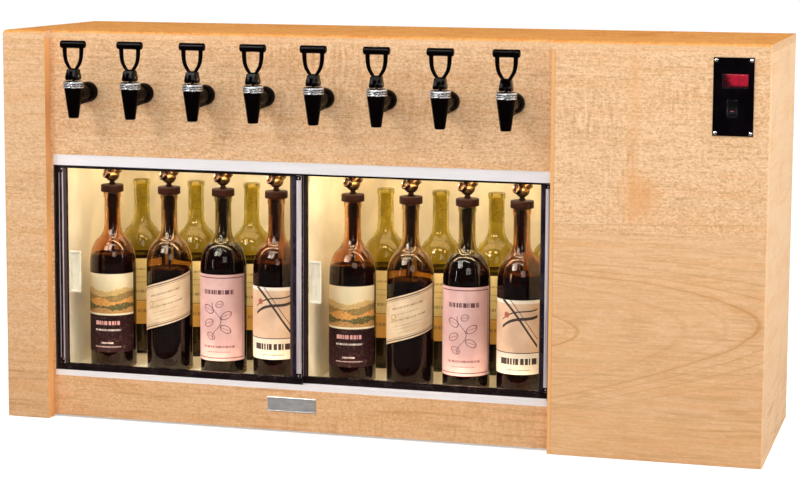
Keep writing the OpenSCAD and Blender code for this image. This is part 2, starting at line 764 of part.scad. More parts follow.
// Wine lines, gas lines, gas supply and the refrigerant pipes
module fluid_lines() {
  top = floor_z + bottle_h + 46;
  c1 = floor_z + 358 + liner_t;
  color([0.85, 0.85, 0.8]) at() {
    for (i = [0 : 7]) {
      // wine line from the fitting up and forward to the shank
      tube(route([[serve_x[i], front_row_y, top], [serve_x[i], front_row_y, 490],
        [tap_x[i], front_row_y - 6, barrel_z], [tap_x[i], front_y + 47, barrel_z]], 16), 3.4);
      // gas line from the manifold down to the fitting's side
      tube(route([[serve_x[i] + 14, 157, 556], [serve_x[i] + 14, 157, 510],
        [serve_x[i] + 13, front_row_y + 1, 452],
        [serve_x[i] + 13.5, front_row_y, 425],
        [serve_x[i] + 22, front_row_y, 406.2],
        [serve_x[i] + 12.6, front_row_y, 398.9]], 5, 3), 2, [0.1, 0.99, 0.1], 6);
    }
    // gas supply from the rear inlet to the end of the manifold
    tube(route([[960, back_y - 24, 336], [960, 300, 336], [960, 300, 520],
      [950, 210, 573], [900, 210, 573], [890, 157, 573], [870, 157, 573]], 14), 3.2, [0.13, 0.21, 0.97]);
    // pipes between the condenser, evaporator and compressor
    tube(route([[1010, 150, 172], [1010, 150, 400], [1000, 222, 552],
      [880, 222, 552], [880, 296, 500], [745, 296, 500]], 16), 4, [0.05, 0.3, 0.95]);
    tube(route([[1110, 150, 172], [1110, 150, 288], [1110, 314, 288],
      [1110, 314, 266]], 10), 4, [1, 0, 0]);
  }
}

top_panel();
base_panel();
left_side_panel();
right_side_panel();
left_stile();
front_panel();
machine_front_panel();
partition_panel();
back_panel();
chamber_liner();
chamber_lamp();
door_track_top();
door_track_bottom();
door_jambs();
left_door_frame();
left_door_glass();
left_door_pull();
right_door_frame();
right_door_glass();
right_door_pull();
tap_bodies();
tap_bonnets();
shank_nuts();
bonnet_springs();
lever_1();
lever_2();
lever_3();
lever_4();
lever_5();
lever_6();
lever_7();
lever_8();
stem_1();
stem_2();
stem_3();
stem_4();
stem_5();
stem_6();
stem_7();
stem_8();
control_plate();
display_window();
rocker_switch();
controller_box();
screws();
name_plate();
bottles();
wine_fill();
bottle_labels();
stoppers();
stopper_fittings();
compressor();
condenser();
evaporator();
condenser_fan();
evaporator_fan();
power_inlet();
gas_inlet();
gas_manifold();
fluid_lines();
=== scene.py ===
import math
import random

import bpy
import bmesh
from mathutils import Matrix, Vector


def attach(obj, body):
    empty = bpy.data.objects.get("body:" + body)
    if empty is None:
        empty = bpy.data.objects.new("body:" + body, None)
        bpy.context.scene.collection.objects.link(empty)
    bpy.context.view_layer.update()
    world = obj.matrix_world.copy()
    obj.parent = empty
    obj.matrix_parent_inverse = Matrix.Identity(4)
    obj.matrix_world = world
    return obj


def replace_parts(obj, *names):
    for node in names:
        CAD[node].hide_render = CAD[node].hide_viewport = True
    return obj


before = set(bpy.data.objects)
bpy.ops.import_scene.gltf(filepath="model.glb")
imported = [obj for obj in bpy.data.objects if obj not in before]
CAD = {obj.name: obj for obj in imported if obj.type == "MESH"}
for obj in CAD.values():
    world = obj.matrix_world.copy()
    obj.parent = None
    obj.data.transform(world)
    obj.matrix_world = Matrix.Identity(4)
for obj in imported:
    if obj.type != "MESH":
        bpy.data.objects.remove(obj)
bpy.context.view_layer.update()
rng = random.Random(7)

# ---------------------------------------------------------------- positions
# Working millimetres: x from the left face, y back from the front plane, z up
OX, OY = 610.0, 183.5
TAP_X = [140.3, 235.8, 339.1, 438.2, 535.3, 635.3, 734.4, 835.4]
SERVE_X = [138, 238, 332, 423, 552, 648, 740, 828]
RESERVE_X = [134, 233, 333, 432, 568, 662, 756, 850]
FILL_H = [188, 168, 214, 186] * 2
FLOOR_Z = 70.0
FRONT_Y = 19.0
SPOUT_Y = -39.0
TAP_Z = 527.0
PIN_Z = 559.8


def P(x, y, z):
    return Vector(((x - OX) / 1000, (y - OY) / 1000, z / 1000))


# ---------------------------------------------------------------- materials
class G:
    """One node material."""

    def __init__(self, name):
        self.m = bpy.data.materials.new(name)
        self.m.use_nodes = True
        self.nt = self.m.node_tree
        self.nt.nodes.clear()
        self.out = self.node("ShaderNodeOutputMaterial")
        self.p = self.node("ShaderNodeBsdfPrincipled")
        self.link(self.p.outputs[0], self.out.inputs[0])
        self._xyz = None

    def node(self, kind, **kw):
        n = self.nt.nodes.new(kind)
        for k, v in kw.items():
            setattr(n, k, v)
        return n

    def link(self, a, b):
        self.nt.links.new(a, b)

    def put(self, sock, v):
        if v is None:
            return
        if isinstance(v, bpy.types.NodeSocket):
            self.link(v, sock)
        elif isinstance(v, (tuple, list)) and len(v) == 3 and sock.type == "RGBA":
            sock.default_value = (*v, 1.0)
        else:
            sock.default_value = v

    def set(self, **kw):
        names = {"color": "Base Color", "rough": "Roughness", "metal": "Metallic", "ior": "IOR", "normal": "Normal",
                 "spec": "Specular IOR Level", "coat": "Coat Weight", "coat_rough": "Coat Roughness",
                 "trans": "Transmission Weight", "emit": "Emission Color", "emit_s": "Emission Strength",
                 "aniso": "Anisotropic", "sheen": "Sheen Weight", "sss": "Subsurface Weight", "sss_r": "Subsurface Radius",
                 "sss_s": "Subsurface Scale"}
        for k, v in kw.items():
            self.put(self.p.inputs[names[k]], v)
        return self

    def math(self, op, a, b=None, c=None, clamp=False):
        n = self.node("ShaderNodeMath", operation=op, use_clamp=clamp)
        for s, v in zip(n.inputs, (a, b, c)):
            self.put(s, v)
        return n.outputs[0]

    def add(self, a, b): return self.math("ADD", a, b)
    def sub(self, a, b): return self.math("SUBTRACT", a, b)
    def mul(self, a, b): return self.math("MULTIPLY", a, b)

    def mix(self, fac, a, b, mode="MIX"):
        n = self.node("ShaderNodeMix", data_type="RGBA", blend_type=mode)
        self.put(n.inputs[0], fac)
        self.put(n.inputs[6], a)
        self.put(n.inputs[7], b)
        return n.outputs[2]

    def coord(self, kind="Object"):
        return self.node("ShaderNodeTexCoord").outputs[kind]

    def mapping(self, vec, scale=(1, 1, 1), loc=(0, 0, 0), rot=(0, 0, 0)):
        n = self.node("ShaderNodeMapping")
        self.link(vec, n.inputs[0])
        n.inputs["Location"].default_value = loc
        n.inputs["Rotation"].default_value = rot
        n.inputs["Scale"].default_value = scale
        return n.outputs[0]

    def sep(self, vec):
        n = self.node("ShaderNodeSeparateXYZ")
        self.link(vec, n.inputs[0])
        return n.outputs[0], n.outputs[1], n.outputs[2]

    def noise(self, vec, scale=1.0, detail=2.0, rough=0.5, dist=0.0):
        n = self.node("ShaderNodeTexNoise")
        self.link(vec, n.inputs["Vector"])
        n.inputs["Scale"].default_value = scale
        n.inputs["Detail"].default_value = detail
        n.inputs["Roughness"].default_value = rough
        n.inputs["Distortion"].default_value = dist
        return n.outputs[0]

    def voronoi(self, vec, scale=1.0, feature="F1", rand=1.0):
        n = self.node("ShaderNodeTexVoronoi", feature=feature)
        self.link(vec, n.inputs["Vector"])
        n.inputs["Scale"].default_value = scale
        n.inputs["Randomness"].default_value = rand
        return n.outputs[0]

    def ramp(self, fac, stops, mode="LINEAR"):
        n = self.node("ShaderNodeValToRGB")
        n.color_ramp.interpolation = mode
        self.put(n.inputs[0], fac)
        el = n.color_ramp.elements
        while len(el) > 1:
            el.remove(el[-1])
        for i, (pos, v) in enumerate(stops):
            c = (v, v, v, 1) if isinstance(v, (int, float)) else (*v, 1)
            if i == 0:
                el[0].position, el[0].color = pos, c
            else:
                e = el.new(pos)
                e.color = c
        return n.outputs[0]

    def span(self, v, a, b, c=0.0, d=1.0, clamp=True):
        n = self.node("ShaderNodeMapRange", clamp=clamp)
        self.put(n.inputs[0], v)
        for i, x in enumerate((a, b, c, d)):
            n.inputs[i + 1].default_value = x
        return n.outputs[0]

    def soft(self, v, a, b):
        n = self.node("ShaderNodeMapRange", interpolation_type="SMOOTHSTEP")
        self.put(n.inputs[0], v)
        n.inputs[1].default_value = a
        n.inputs[2].default_value = b
        return n.outputs[0]

    def near(self, v, centre, half):
        """1 where v is within half of centre."""
        return self.math("COMPARE", v, centre, half)

    def bell(self, v, centre, half):
        """Smooth bump around centre."""
        d = self.math("ABSOLUTE", self.sub(v, centre))
        return self.soft(d, half, 0.0)

    def bump(self, height, strength=0.2, dist=0.0005, normal=None):
        n = self.node("ShaderNodeBump")
        n.inputs["Strength"].default_value = strength
        n.inputs["Distance"].default_value = dist
        self.put(n.inputs["Height"], height)
        if normal is not None:
            self.link(normal, n.inputs["Normal"])
        self.link(n.outputs[0], self.p.inputs["Normal"])
        return n.outputs[0]


def wood(name, along="x", tint=(1.0, 1.0, 1.0), kind="plain", seed=0.0, grain_size=0.5, low_shade=0.0):
    """Figured maple. along is the grain's axis; grain_size adds short grains, low_shade paints shade on the lower part,
    drawing it darker and warmer.
    """
    g = G(name)
    co = g.coord("Object")

    def grain(fa, fc, shift):
        s = {"x": (fa, fc, fc), "y": (fc, fa, fc), "z": (fc, fc, fa)}[along]
        return g.mapping(co, scale=s, loc=(seed + shift, seed * 1.7 + shift, seed * 0.6 - shift))
    fibre = g.noise(grain(22, 460, 0), 1, 4, 0.62, 0.25)
    fine = g.noise(grain(80, 1300, 3), 1, 3, 0.6)
    fleck = g.noise(grain(120, 430, 9), 1, 2, 0.5, 0.3)
    pale = g.noise(grain(90, 380, 21), 1, 2, 0.5, 0.3)
    short = g.noise(grain(270, 400, 27), 1, 2, 0.55, 0.5)
    streak = g.noise(grain(3.2, 70, 5), 1, 4, 0.6, 0.6)
    cloud = g.noise(grain(3.4, 8.5, 12), 1, 4, 0.55, 0.5)
    patchy = g.noise(grain(14, 22, 15), 1, 3, 0.6, 0.4)
    light, mid, dark = (0.91, 0.60, 0.35), (0.82, 0.50, 0.265), (0.52, 0.26, 0.10)
    if kind == "quiet":
        mid = (0.87, 0.57, 0.33)
    orange = (0.80, 0.38, 0.145)
    mul = lambda col: tuple(col[i] * tint[i] for i in range(3))
    x, y, z = g.sep(co)
    z_ = z
    col = g.mix(g.soft(fibre, 0.36, 0.64), mul(mid), mul(light))
    calm = 1.0 if kind != "quiet" else 0.45
    if kind == "machine":
        # the board is calmer and a little deeper below its cross seam
        calm = g.span(z_, 0.335, 0.355, 0.55, 1.0)
        col = g.mix(g.soft(z_, 0.356, 0.348), col, (0.95, 0.91, 0.86), "MULTIPLY")
    cm_ = lambda k: g.mul(calm, k) if kind == "machine" else calm * k
    col = g.mix(g.mul(g.soft(fibre, 0.44, 0.28), cm_(0.44)), col, mul(dark))
    col = g.mix(g.mul(g.soft(fleck, 0.55, 0.70), cm_(0.38)), col, mul(dark))
    col = g.mix(g.mul(g.soft(pale, 0.56, 0.70), cm_(0.55)), col, mul((0.98, 0.73, 0.48)))
    col = g.mix(g.mul(g.soft(streak, 0.46, 0.68), 0.34), col, mul(orange))
    col = g.mix(g.mul(g.soft(cloud, 0.50, 0.74), 0.26), col, mul(orange))
    col = g.mix(g.mul(g.soft(cloud, 0.46, 0.28), 0.20), col, mul((0.94, 0.66, 0.42)))
    col = g.mix(g.mul(g.soft(patchy, 0.52, 0.72), 0.18), col, mul(dark))
    col = g.mix(g.mul(g.soft(fine, 0.52, 0.72), 0.26), col, mul(dark))
    amount = grain_size
    if kind == "machine":
        # short grains above the cross seam, longer fibres below it
        amount = g.span(z, 0.335, 0.355, 0.22 * grain_size, grain_size)
    col = g.mix(g.mul(g.soft(short, 0.53, 0.66), amount), col, mul((0.55, 0.285, 0.115)))
    col = g.mix(g.mul(g.soft(short, 0.46, 0.33), amount), col, mul((1.0, 0.735, 0.47)))
    if kind in ("machine", "tapped"):
        # curly figure: short strokes across the grain, in patches
        curl = g.noise(g.mapping(co, scale=(165, 1, 24)), 1, 3, 0.55, 0.4)
        if kind == "machine":
            patch = g.mul(g.bell(x, 0.345, 0.080), g.bell(z, 0.518, 0.055))
            patch = g.math("MAXIMUM", patch, g.mul(g.bell(x, 0.40, 0.06), g.mul(g.bell(z, 0.43, 0.08), 0.8)))
            patch = g.math("MAXIMUM", patch, g.mul(g.bell(x, 0.50, 0.12), g.mul(g.bell(z, 0.55, 0.06), 0.5)))
        else:
            patch = g.mul(g.soft(g.noise(g.mapping(co, scale=(5, 1, 9), loc=(2.2, 0, 0.4)), 1, 2), 0.48, 0.60), 0.65)
            patch = g.mul(patch, g.soft(x, -0.32, -0.12))
        col = g.mix(g.mul(g.mul(g.soft(curl, 0.52, 0.66), patch), 0.75), col, mul((0.58, 0.29, 0.12)))
        col = g.mix(g.mul(g.mul(g.soft(curl, 0.46, 0.33), patch), 0.65), col, mul((1.0, 0.72, 0.46)))
    if kind == "machine":
        wob = g.mul(g.sub(g.noise(g.mapping(co, scale=(7, 1, 11), loc=(4, 0, 2)), 1, 3, 0.55), 0.5), 0.05)

        # nested arches with their noses to the right: F is 0 on the outer arch
        def arch(ax, az, k, tilt):
            left = g.sub(ax, x)
            mid_z = g.add(g.sub(z, az), g.mul(left, tilt))
            return g.add(g.sub(left, g.mul(g.mul(mid_z, mid_z), k)), wob)
        f1 = arch(0.598, 0.216, 33.0, 0.105)
        lines = g.mul(g.bell(f1, 0.0, 0.0065), 0.95)
        lines = g.math("MAXIMUM", lines, g.mul(g.bell(f1, 0.0, 0.022), 0.35))
        lines = g.math("MAXIMUM", lines, g.mul(g.bell(f1, 0.040, 0.005), 0.25))
        lines = g.math("MAXIMUM", lines, g.mul(g.bell(f1, 0.105, 0.012), 0.30))
        lines = g.math("MAXIMUM", lines, g.mul(g.bell(f1, -0.050, 0.007), 0.60))
        lines = g.math("MAXIMUM", lines, g.mul(g.bell(f1, -0.115, 0.010), 0.50))
        lines = g.math("MAXIMUM", lines, g.mul(g.bell(f1, -0.200, 0.010), 0.38))
        f2 = arch(0.331, 0.192, 70.0, 0.02)
        lines = g.math("MAXIMUM", lines, g.mul(g.bell(f2, 0.0, 0.006), 0.85))
        lines = g.math("MAXIMUM", lines, g.mul(g.bell(f2, 0.018, 0.004), 0.25))
        lines = g.mul(lines, g.soft(z, 0.40, 0.30))
        lines = g.mul(lines, g.span(g.noise(grain(12, 90, 30), 1, 3), 0.3, 0.62, 0.60, 1.0))
        col = g.mix(g.mul(lines, 0.92), col, mul((0.60, 0.27, 0.085)))
        # smoother, oranger heart inside and below the arches
        inside = g.mul(g.soft(f1, -0.01, 0.08), g.soft(z, 0.36, 0.30))
        col = g.mix(g.mul(inside, 0.14), col, mul((0.74, 0.41, 0.19)))
        # painted shade: the bottom of the board is drawn darker, with darker streaks near the bottom
        low = g.soft(z, 0.24, 0.04)
        col = g.mix(g.mul(low, 0.24), col, mul((0.68, 0.345, 0.14)))
        lowstreak = g.noise(grain(9, 150, 40), 1, 3, 0.6, 0.4)
        col = g.mix(g.mul(g.mul(g.soft(lowstreak, 0.50, 0.70), g.soft(z, 0.30, 0.16)), 0.34), col, mul((0.55, 0.26, 0.095)))
        # vertical band with a blotch, and the faint seam across
        band = g.mul(g.bell(x, 0.410, 0.016), g.soft(z, 0.345, 0.36))
        col = g.mix(g.mul(band, 0.30), col, mul(orange))
        blotch = g.mul(g.bell(x, 0.423, 0.045), g.bell(g.add(z, g.mul(wob, 0.6)), 0.400, 0.055))
        col = g.mix(g.mul(blotch, 0.60), col, mul((0.80, 0.36, 0.12)))
        seam = g.bell(g.sub(z, g.mul(x, 0.035)), 0.342, 0.0020)
        col = g.mix(g.mul(seam, 0.30), col, mul(dark))
        # solid lipping along the left edge
        lip = g.near(x, 0.2882, 0.0027)
        col = g.mix(g.mul(lip, 0.85), col, mul((0.88, 0.44, 0.16)))
        col = g.mix(g.mul(g.bell(x, 0.2910, 0.0007), 0.6), col, mul((0.42, 0.19, 0.07)))
    elif low_shade:
        # painted shade: the lower part of the board is drawn darker and warmer, with darker streaks near the bottom
        col = g.mix(g.mul(g.soft(z, 0.30, 0.02), low_shade), col, mul((0.66, 0.335, 0.14)))
        lowstreak = g.noise(grain(9, 150, 40), 1, 3, 0.6, 0.4)
        col = g.mix(g.mul(g.mul(g.soft(lowstreak, 0.50, 0.70), g.soft(z, 0.16, 0.06)), 0.50), col, mul((0.55, 0.26, 0.095)))
    nrm = g.node("ShaderNodeNewGeometry").outputs["Normal"]
    nx, ny, nz = g.sep(nrm)
    if kind == "top":
        # the top face is a warmer veneer with darker patches
        patch = g.soft(g.noise(g.mapping(co, scale=(26, 34, 9), loc=(1.3, 0.2, 0)), 1, 3, 0.6, 0.4), 0.44, 0.62)
        dots = g.noise(g.mapping(co, scale=(170, 90, 9), loc=(0.3, 0.9, 0)), 1, 2, 0.6, 0.4)
        hot = g.mix(g.mul(patch, 0.75), (0.94, 0.40, 0.085), (0.84, 0.285, 0.040))
        hot = g.mix(g.mul(g.soft(dots, 0.50, 0.66), 0.60), hot, (0.99, 0.55, 0.17))
        hot = g.mix(g.mul(g.soft(dots, 0.46, 0.34), 0.50), hot, (0.66, 0.21, 0.025))
        knot = g.mul(g.bell(x, 0.385, 0.040), g.bell(y, 0.04, 0.12))
        hot = g.mix(g.mul(knot, 0.60), hot, (0.72, 0.23, 0.02))
        # painted shade: the rounded front edge catches more light, so its colour is drawn darker there to hold it down
        col = g.mix(g.mul(g.bell(nz, 0.55, 0.55), 0.42), col, mul((0.56, 0.33, 0.165)))
        col = g.mix(g.mul(g.soft(nz, 0.55, 0.92), 0.96), col, hot)
    if kind == "edge":
        # sawn ends and returns are darker and more orange
        side = g.soft(g.math("ABSOLUTE", nx), 0.6, 0.9)
        col = g.mix(g.mul(side, 0.85), col, mul((0.98, 0.50, 0.18)))
    h = g.add(g.mul(fibre, 0.6), g.mul(fleck, 0.4))
    g.bump(h, 0.10, 0.0004)
    g.set(color=col, rough=g.span(g.add(fibre, g.mul(cloud, 0.5)), 0.4, 1.1, 0.44, 0.56), spec=0.12)
    return g.m


def plain(name, color, rough=0.4, metal=0.0, spec=0.5, var=0.08, grain=(60, 60, 60), bump=0.05, coat=0.0, dist=0.0002, coord="Object", **kw):
    """Painted, moulded or metal finish with soft mottling and fine texture."""
    g = G(name)
    co = g.coord(coord)
    n1 = g.noise(g.mapping(co, scale=grain), 1, 4, 0.6, 0.2)
    n2 = g.noise(g.mapping(co, scale=tuple(10 * s for s in grain)), 1, 3, 0.6)
    lo = tuple(c * (1 - var) for c in color)
    hi = tuple(min(1.0, c * (1 + var)) for c in color)
    g.set(color=g.mix(g.soft(n1, 0.3, 0.7), lo, hi), rough=g.span(n2, 0.3, 0.7, rough * 0.86, min(1.0, rough * 1.14)), spec=spec)
    g.set(metal=metal, **kw)
    if coat:
        g.set(coat=coat, coat_rough=0.05)
    if bump:
        g.bump(g.add(n1, g.mul(n2, 0.5)), bump, dist)
    return g.m


def brushed(name, color, rough=0.3, along="x", var=0.10, metal=1.0):
    """Drawn or brushed metal, fine lines along one axis."""
    g = G(name)
    co = g.coord("Object")
    s = {"x": (14, 1500, 1500), "y": (1500, 14, 1500), "z": (1500, 1500, 14)}[along]
    n = g.noise(g.mapping(co, scale=s), 1, 3, 0.6)
    c = g.noise(g.mapping(co, scale=(9, 9, 9)), 1, 3, 0.6)
    lo = tuple(k * (1 - var) for k in color)
    g.set(color=g.mix(g.soft(g.add(n, g.mul(g.sub(c, 0.5), 0.5)), 0.3, 0.7), lo, color), metal=metal,
          rough=g.span(n, 0.3, 0.7, rough * 0.75, rough * 1.25))
    g.bump(n, 0.06, 0.0002)
    return g.m


def gloss_black(name, base=(0.006, 0.005, 0.006), rough=0.07, spec=0.5):
    """Moulded gloss black with faint flow marks and finger wear."""
    g = G(name)
    co = g.coord("Object")
    flow = g.noise(g.mapping(co, scale=(45, 45, 45)), 1, 3, 0.55, 0.6)
    wear = g.noise(g.mapping(co, scale=(260, 260, 260)), 1, 3, 0.6)
    g.set(color=g.mix(g.soft(flow, 0.35, 0.7), base, tuple(c * 1.9 for c in base)),
          rough=g.span(g.add(g.mul(flow, 0.6), g.mul(wear, 0.4)), 0.35, 0.7, rough * 0.7, rough * 1.9), spec=spec)
    g.bump(g.add(flow, g.mul(wear, 0.15)), 0.05, 0.0006)
    return g.m


def glass(name, color, ior=1.45, rough=0.0, deep=None, spec=0.5, wave=0.02):
    """Tinted glass. Rays from lamps pass through a tinted Transparent shader."""
    g = G(name)
    co = g.coord("Object")
    n = g.noise(g.mapping(co, scale=(22, 22, 9)), 1, 3, 0.5, 0.3)
    deep = deep or tuple(c * 0.82 for c in color)
    tone = g.mix(g.soft(n, 0.35, 0.68), deep, color)
    if name.startswith("bottle_"):
        # the glass is thicker towards the lip, so its tint is deeper there
        z = g.sep(co)[2]
        k = 0.30 if name != "bottle_olive" else 0.20
        tone = g.mix(g.mul(g.soft(z, 0.222 + 0.07, 0.262 + 0.07), k), tone, (0.10, 0.03, 0.01) if name != "bottle_olive" else (0.20, 0.17, 0.03))
    g.set(color=tone, trans=1.0, ior=ior, rough=rough, spec=spec)
    if wave:
        g.bump(n, wave, 0.002)
    t = g.node("ShaderNodeBsdfTransparent")
    t.inputs[0].default_value = (*[math.sqrt(c) for c in color], 1)
    lp = g.node("ShaderNodeLightPath")
    mx = g.node("ShaderNodeMixShader")
    g.link(lp.outputs["Is Shadow Ray"], mx.inputs[0])
    g.link(g.p.outputs[0], mx.inputs[1])
    g.link(t.outputs[0], mx.inputs[2])
    g.link(mx.outputs[0], g.out.inputs[0])
    return g.m


# ---------------------------------------------------------------- mesh code
class Build:
    """Collects points and faces in working millimetres around a local origin."""

    def __init__(self):
        self.v, self.f, self.mi, self.uv = [], [], [], []

    def add(self, pts, faces, mi=0, uvs=None):
        o = len(self.v)
        self.v += [Vector(p) for p in pts]
        for k, f in enumerate(faces):
            self.f.append([i + o for i in f])
            self.mi.append(mi if isinstance(mi, int) else mi[k])
            self.uv.append(uvs[k] if uvs else None)

    def box(self, a, b, mi=0):
        (x0, y0, z0), (x1, y1, z1) = a, b
        p = [(x0, y0, z0), (x1, y0, z0), (x1, y1, z0), (x0, y1, z0), (x0, y0, z1), (x1, y0, z1), (x1, y1, z1), (x0, y1, z1)]
        self.add(p, [(0, 3, 2, 1), (4, 5, 6, 7), (0, 1, 5, 4), (1, 2, 6, 5), (2, 3, 7, 6), (3, 0, 4, 7)], mi)

    def lathe(self, prof, n=48, at=(0, 0, 0), rot=None, mi=0, closed=False):
        """prof is (radius, height); radius 0 makes a pole. mi may be one index per segment."""
        rot = rot or Matrix.Identity(3)
        at = Vector(at)
        rings, pts = [], []
        for r, h in prof:
            if r <= 1e-9:
                rings.append([len(pts)])
                pts.append(at + rot @ Vector((0, 0, h)))
            else:
                rings.append(list(range(len(pts), len(pts) + n)))
                for k in range(n):
                    t = 2 * math.pi * k / n
                    pts.append(at + rot @ Vector((r * math.cos(t), r * math.sin(t), h)))
        faces, ms = [], []
        pairs = list(zip(rings, rings[1:])) + ([(rings[-1], rings[0])] if closed else [])
        for s, (a, b) in enumerate(pairs):
            m = mi if isinstance(mi, int) else mi[min(s, len(mi) - 1)]
            for k in range(n):
                j = (k + 1) % n
                if len(a) == 1 and len(b) == 1:
                    continue
                if len(a) == 1:
                    faces.append((a[0], b[j], b[k]))
                elif len(b) == 1:
                    faces.append((a[k], a[j], b[0]))
                else:
                    faces.append((a[k], a[j], b[j], b[k]))
                ms.append(m)
        self.add(pts, faces, ms)

    def prism(self, poly, a, b, axis="x", mi=0, taper=None):
        """Extrudes a 2-D outline from a to b. axis x: outline is (y, z); y: (x, z); z: (x, y)."""
        def pt(q, t):
            u, w = q
            return {"x": (t, u, w), "y": (u, t, w), "z": (u, w, t)}[axis]
        n = len(poly)
        pts = [pt(q, a) for q in poly] + [pt(q, b) for q in poly]
        if taper:
            pts = [taper(Vector(p)) for p in pts]
        faces = [tuple(range(n - 1, -1, -1)), tuple(range(n, 2 * n))] + [(i, (i + 1) % n, (i + 1) % n + n, i + n) for i in range(n)]
        ms = mi if isinstance(mi, int) else [mi[0], mi[0]] + [mi[i % len(mi)] for i in range(n)]
        self.add(pts, faces, ms)

    def sweep(self, path, radii, n=16, flat=(1.0, 1.0), ref=(0, 1, 0), mi=0):
        """Tube along path; radii per point; flat scales the two cross axes."""
        path = [Vector(p) for p in path]
        ref = Vector(ref)
        pts, m = [], len(path)
        for i, p in enumerate(path):
            t = (path[min(i + 1, m - 1)] - path[max(i - 1, 0)]).normalized()
            w = (ref - t * ref.dot(t)).normalized()
            u = t.cross(w)
            for k in range(n):
                a = 2 * math.pi * k / n
                pts.append(p + u * (radii[i] * flat[0] * math.cos(a)) + w * (radii[i] * flat[1] * math.sin(a)))
        faces = [tuple(range(n - 1, -1, -1)), tuple(range((m - 1) * n, m * n))]
        for i in range(m - 1):
            for k in range(n):
                j = (k + 1) % n
                faces.append((i * n + k, i * n + j, (i + 1) * n + j, (i + 1) * n + k))
        self.add(pts, faces, mi)

    def mesh(self, name, angle=40):
        me = bpy.data.meshes.new(name)
        me.from_pydata([v / 1000 for v in self.v], [], self.f)
        me.polygons.foreach_set("material_index", self.mi)
        if any(u is not None for u in self.uv):
            layer = me.uv_layers.new(name="UVMap")
            for poly, uv in zip(me.polygons, self.uv):
                if uv:
                    for li, c in zip(poly.loop_indices, uv):
                        layer.data[li].uv = c
        bm = bmesh.new()
        bm.from_mesh(me)
        bmesh.ops.recalc_face_normals(bm, faces=bm.faces)
        bm.to_mesh(me)
        bm.free()
        me.shade_smooth()
        me.set_sharp_from_angle(angle=math.radians(angle))
        me.update()
        return me


def place(name, me, mats=(), at=(OX, OY, 0), body="root", rot=None, bevel=None, seg=2, angle=32):
    """Makes an object of a mesh at a working position and lets it ride."""
    if mats and not me.materials:
        for m in mats:
            me.materials.append(m)
    o = bpy.data.objects.new(name, me)
    bpy.context.scene.collection.objects.link(o)
    o.matrix_world = Matrix.Translation(P(*at)) @ (rot.to_4x4() if rot else Matrix.Identity(4))
    if bevel:
        b = o.modifiers.new("edge", "BEVEL")
        b.width = bevel / 1000
        b.segments = seg
        b.limit_method = "ANGLE"
        b.angle_limit = math.radians(angle)
        b.harden_normals = True
    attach(o, body)
    return o


def remeshed(build, name, voxel, smooth=4, factor=0.5, mats=()):
    """Merges overlapping closed solids into one smooth moulded skin."""
    me = build.mesh(name + "_raw", 180)
    o = bpy.data.objects.new(name + "_raw", me)
    bpy.context.scene.collection.objects.link(o)
    r = o.modifiers.new("merge", "REMESH")
    r.mode = "VOXEL"
    r.voxel_size = voxel / 1000
    r.use_smooth_shade = True
    s = o.modifiers.new("soften", "SMOOTH")
    s.factor = factor
    s.iterations = smooth
    bpy.context.view_layer.update()
    dg = bpy.context.evaluated_depsgraph_get()
    new = bpy.data.meshes.new_from_object(o.evaluated_get(dg))
    new.name = name
    bpy.data.objects.remove(o)
    new.materials.clear()
    for m in mats:
        new.materials.append(m)
    new.shade_smooth()
    return new


def dress(node, mat):
    """Gives a CAD node its procedural material."""
    o = CAD[node]
    if not o.material_slots:
        o.data.materials.append(mat)
    for s in o.material_slots:
        s.material = mat


# ---------------------------------------------------------------- camera
cam_data = bpy.data.cameras.new("camera")
cam = bpy.data.objects.new("camera", cam_data)
bpy.context.scene.collection.objects.link(cam)
cam_data.lens = 96.415
cam_data.sensor_width = 36.0
cam_data.sensor_fit = "HORIZONTAL"
cam_data.shift_y = -0.08
cam_data.clip_start = 0.05
cam_data.clip_end = 60
yaw, pitch, roll = math.radians(-15.673), math.radians(-6.653), math.radians(0.3)
fwd = Vector((math.sin(yaw) * math.cos(pitch), math.cos(yaw) * math.cos(pitch), math.sin(pitch)))
right = Vector((math.cos(yaw), -math.sin(yaw), 0))
up = right.cross(fwd)
r2 = math.cos(roll) * right + math.sin(roll) * up
u2 = -math.sin(roll) * right + math.cos(roll) * up
cm = Matrix((r2, u2, -fwd)).transposed().to_4x4()
cm.translation = Vector((0.9299, -3.3126, 0.7898))
cam.matrix_world = cm
bpy.context.scene.camera = cam

# ---------------------------------------------------------------- cabinet
dress("top_panel", wood("maple_top", "x", kind="top", seed=1.0, grain_size=0.5))
dress("left_stile", wood("maple_stile", "x", (0.97, 0.955, 0.935), kind="edge", seed=2.3, grain_size=0.42, low_shade=0.30))
dress("front_panel", wood("maple_tapped", "x", (1.03, 1.02, 1.01), kind="tapped", seed=3.1, grain_size=0.56, low_shade=0.40))
dress("machine_front_panel", wood("maple_machine", "x", (1.03, 1.04, 1.05), kind="machine", seed=4.7, grain_size=0.54))
# the right side panel is drawn paler and cooler than the front boards: painted light from the right
dress("right_side_panel", wood("maple_side_right", "y", (1.06, 1.12, 1.20), kind="quiet", seed=5.9, grain_size=0.12, low_shade=0.12))
dress("left_side_panel", wood("maple_side_left", "y", (1.0, 1.0, 1.0), seed=6.4, grain_size=0.3, low_shade=0.3))
dress("base_panel", wood("maple_base", "x", (0.9, 0.88, 0.86), seed=7.7))
dress("partition_panel", wood("maple_partition", "z", (0.95, 0.94, 0.92), seed=8.2))
dress("back_panel", wood("maple_back", "x", (0.93, 0.92, 0.90), seed=9.4))

cream = G("liner_cream")
co = cream.coord()
n1 = cream.noise(cream.mapping(co, scale=(5, 5, 3)), 1, 3, 0.5)
n2 = cream.noise(cream.mapping(co, scale=(300, 300, 300)), 1, 3, 0.6)
_, ycr, zcr = cream.sep(co)
cream.set(color=cream.mix(cream.soft(n1, 0.35, 0.65), (0.90, 0.80, 0.60), (0.94, 0.86, 0.68)),
          rough=cream.span(n2, 0.3, 0.7, 0.34, 0.46), spec=0.4)
cream.bump(n2, 0.04, 0.0002)
dress("chamber_liner", cream.m)

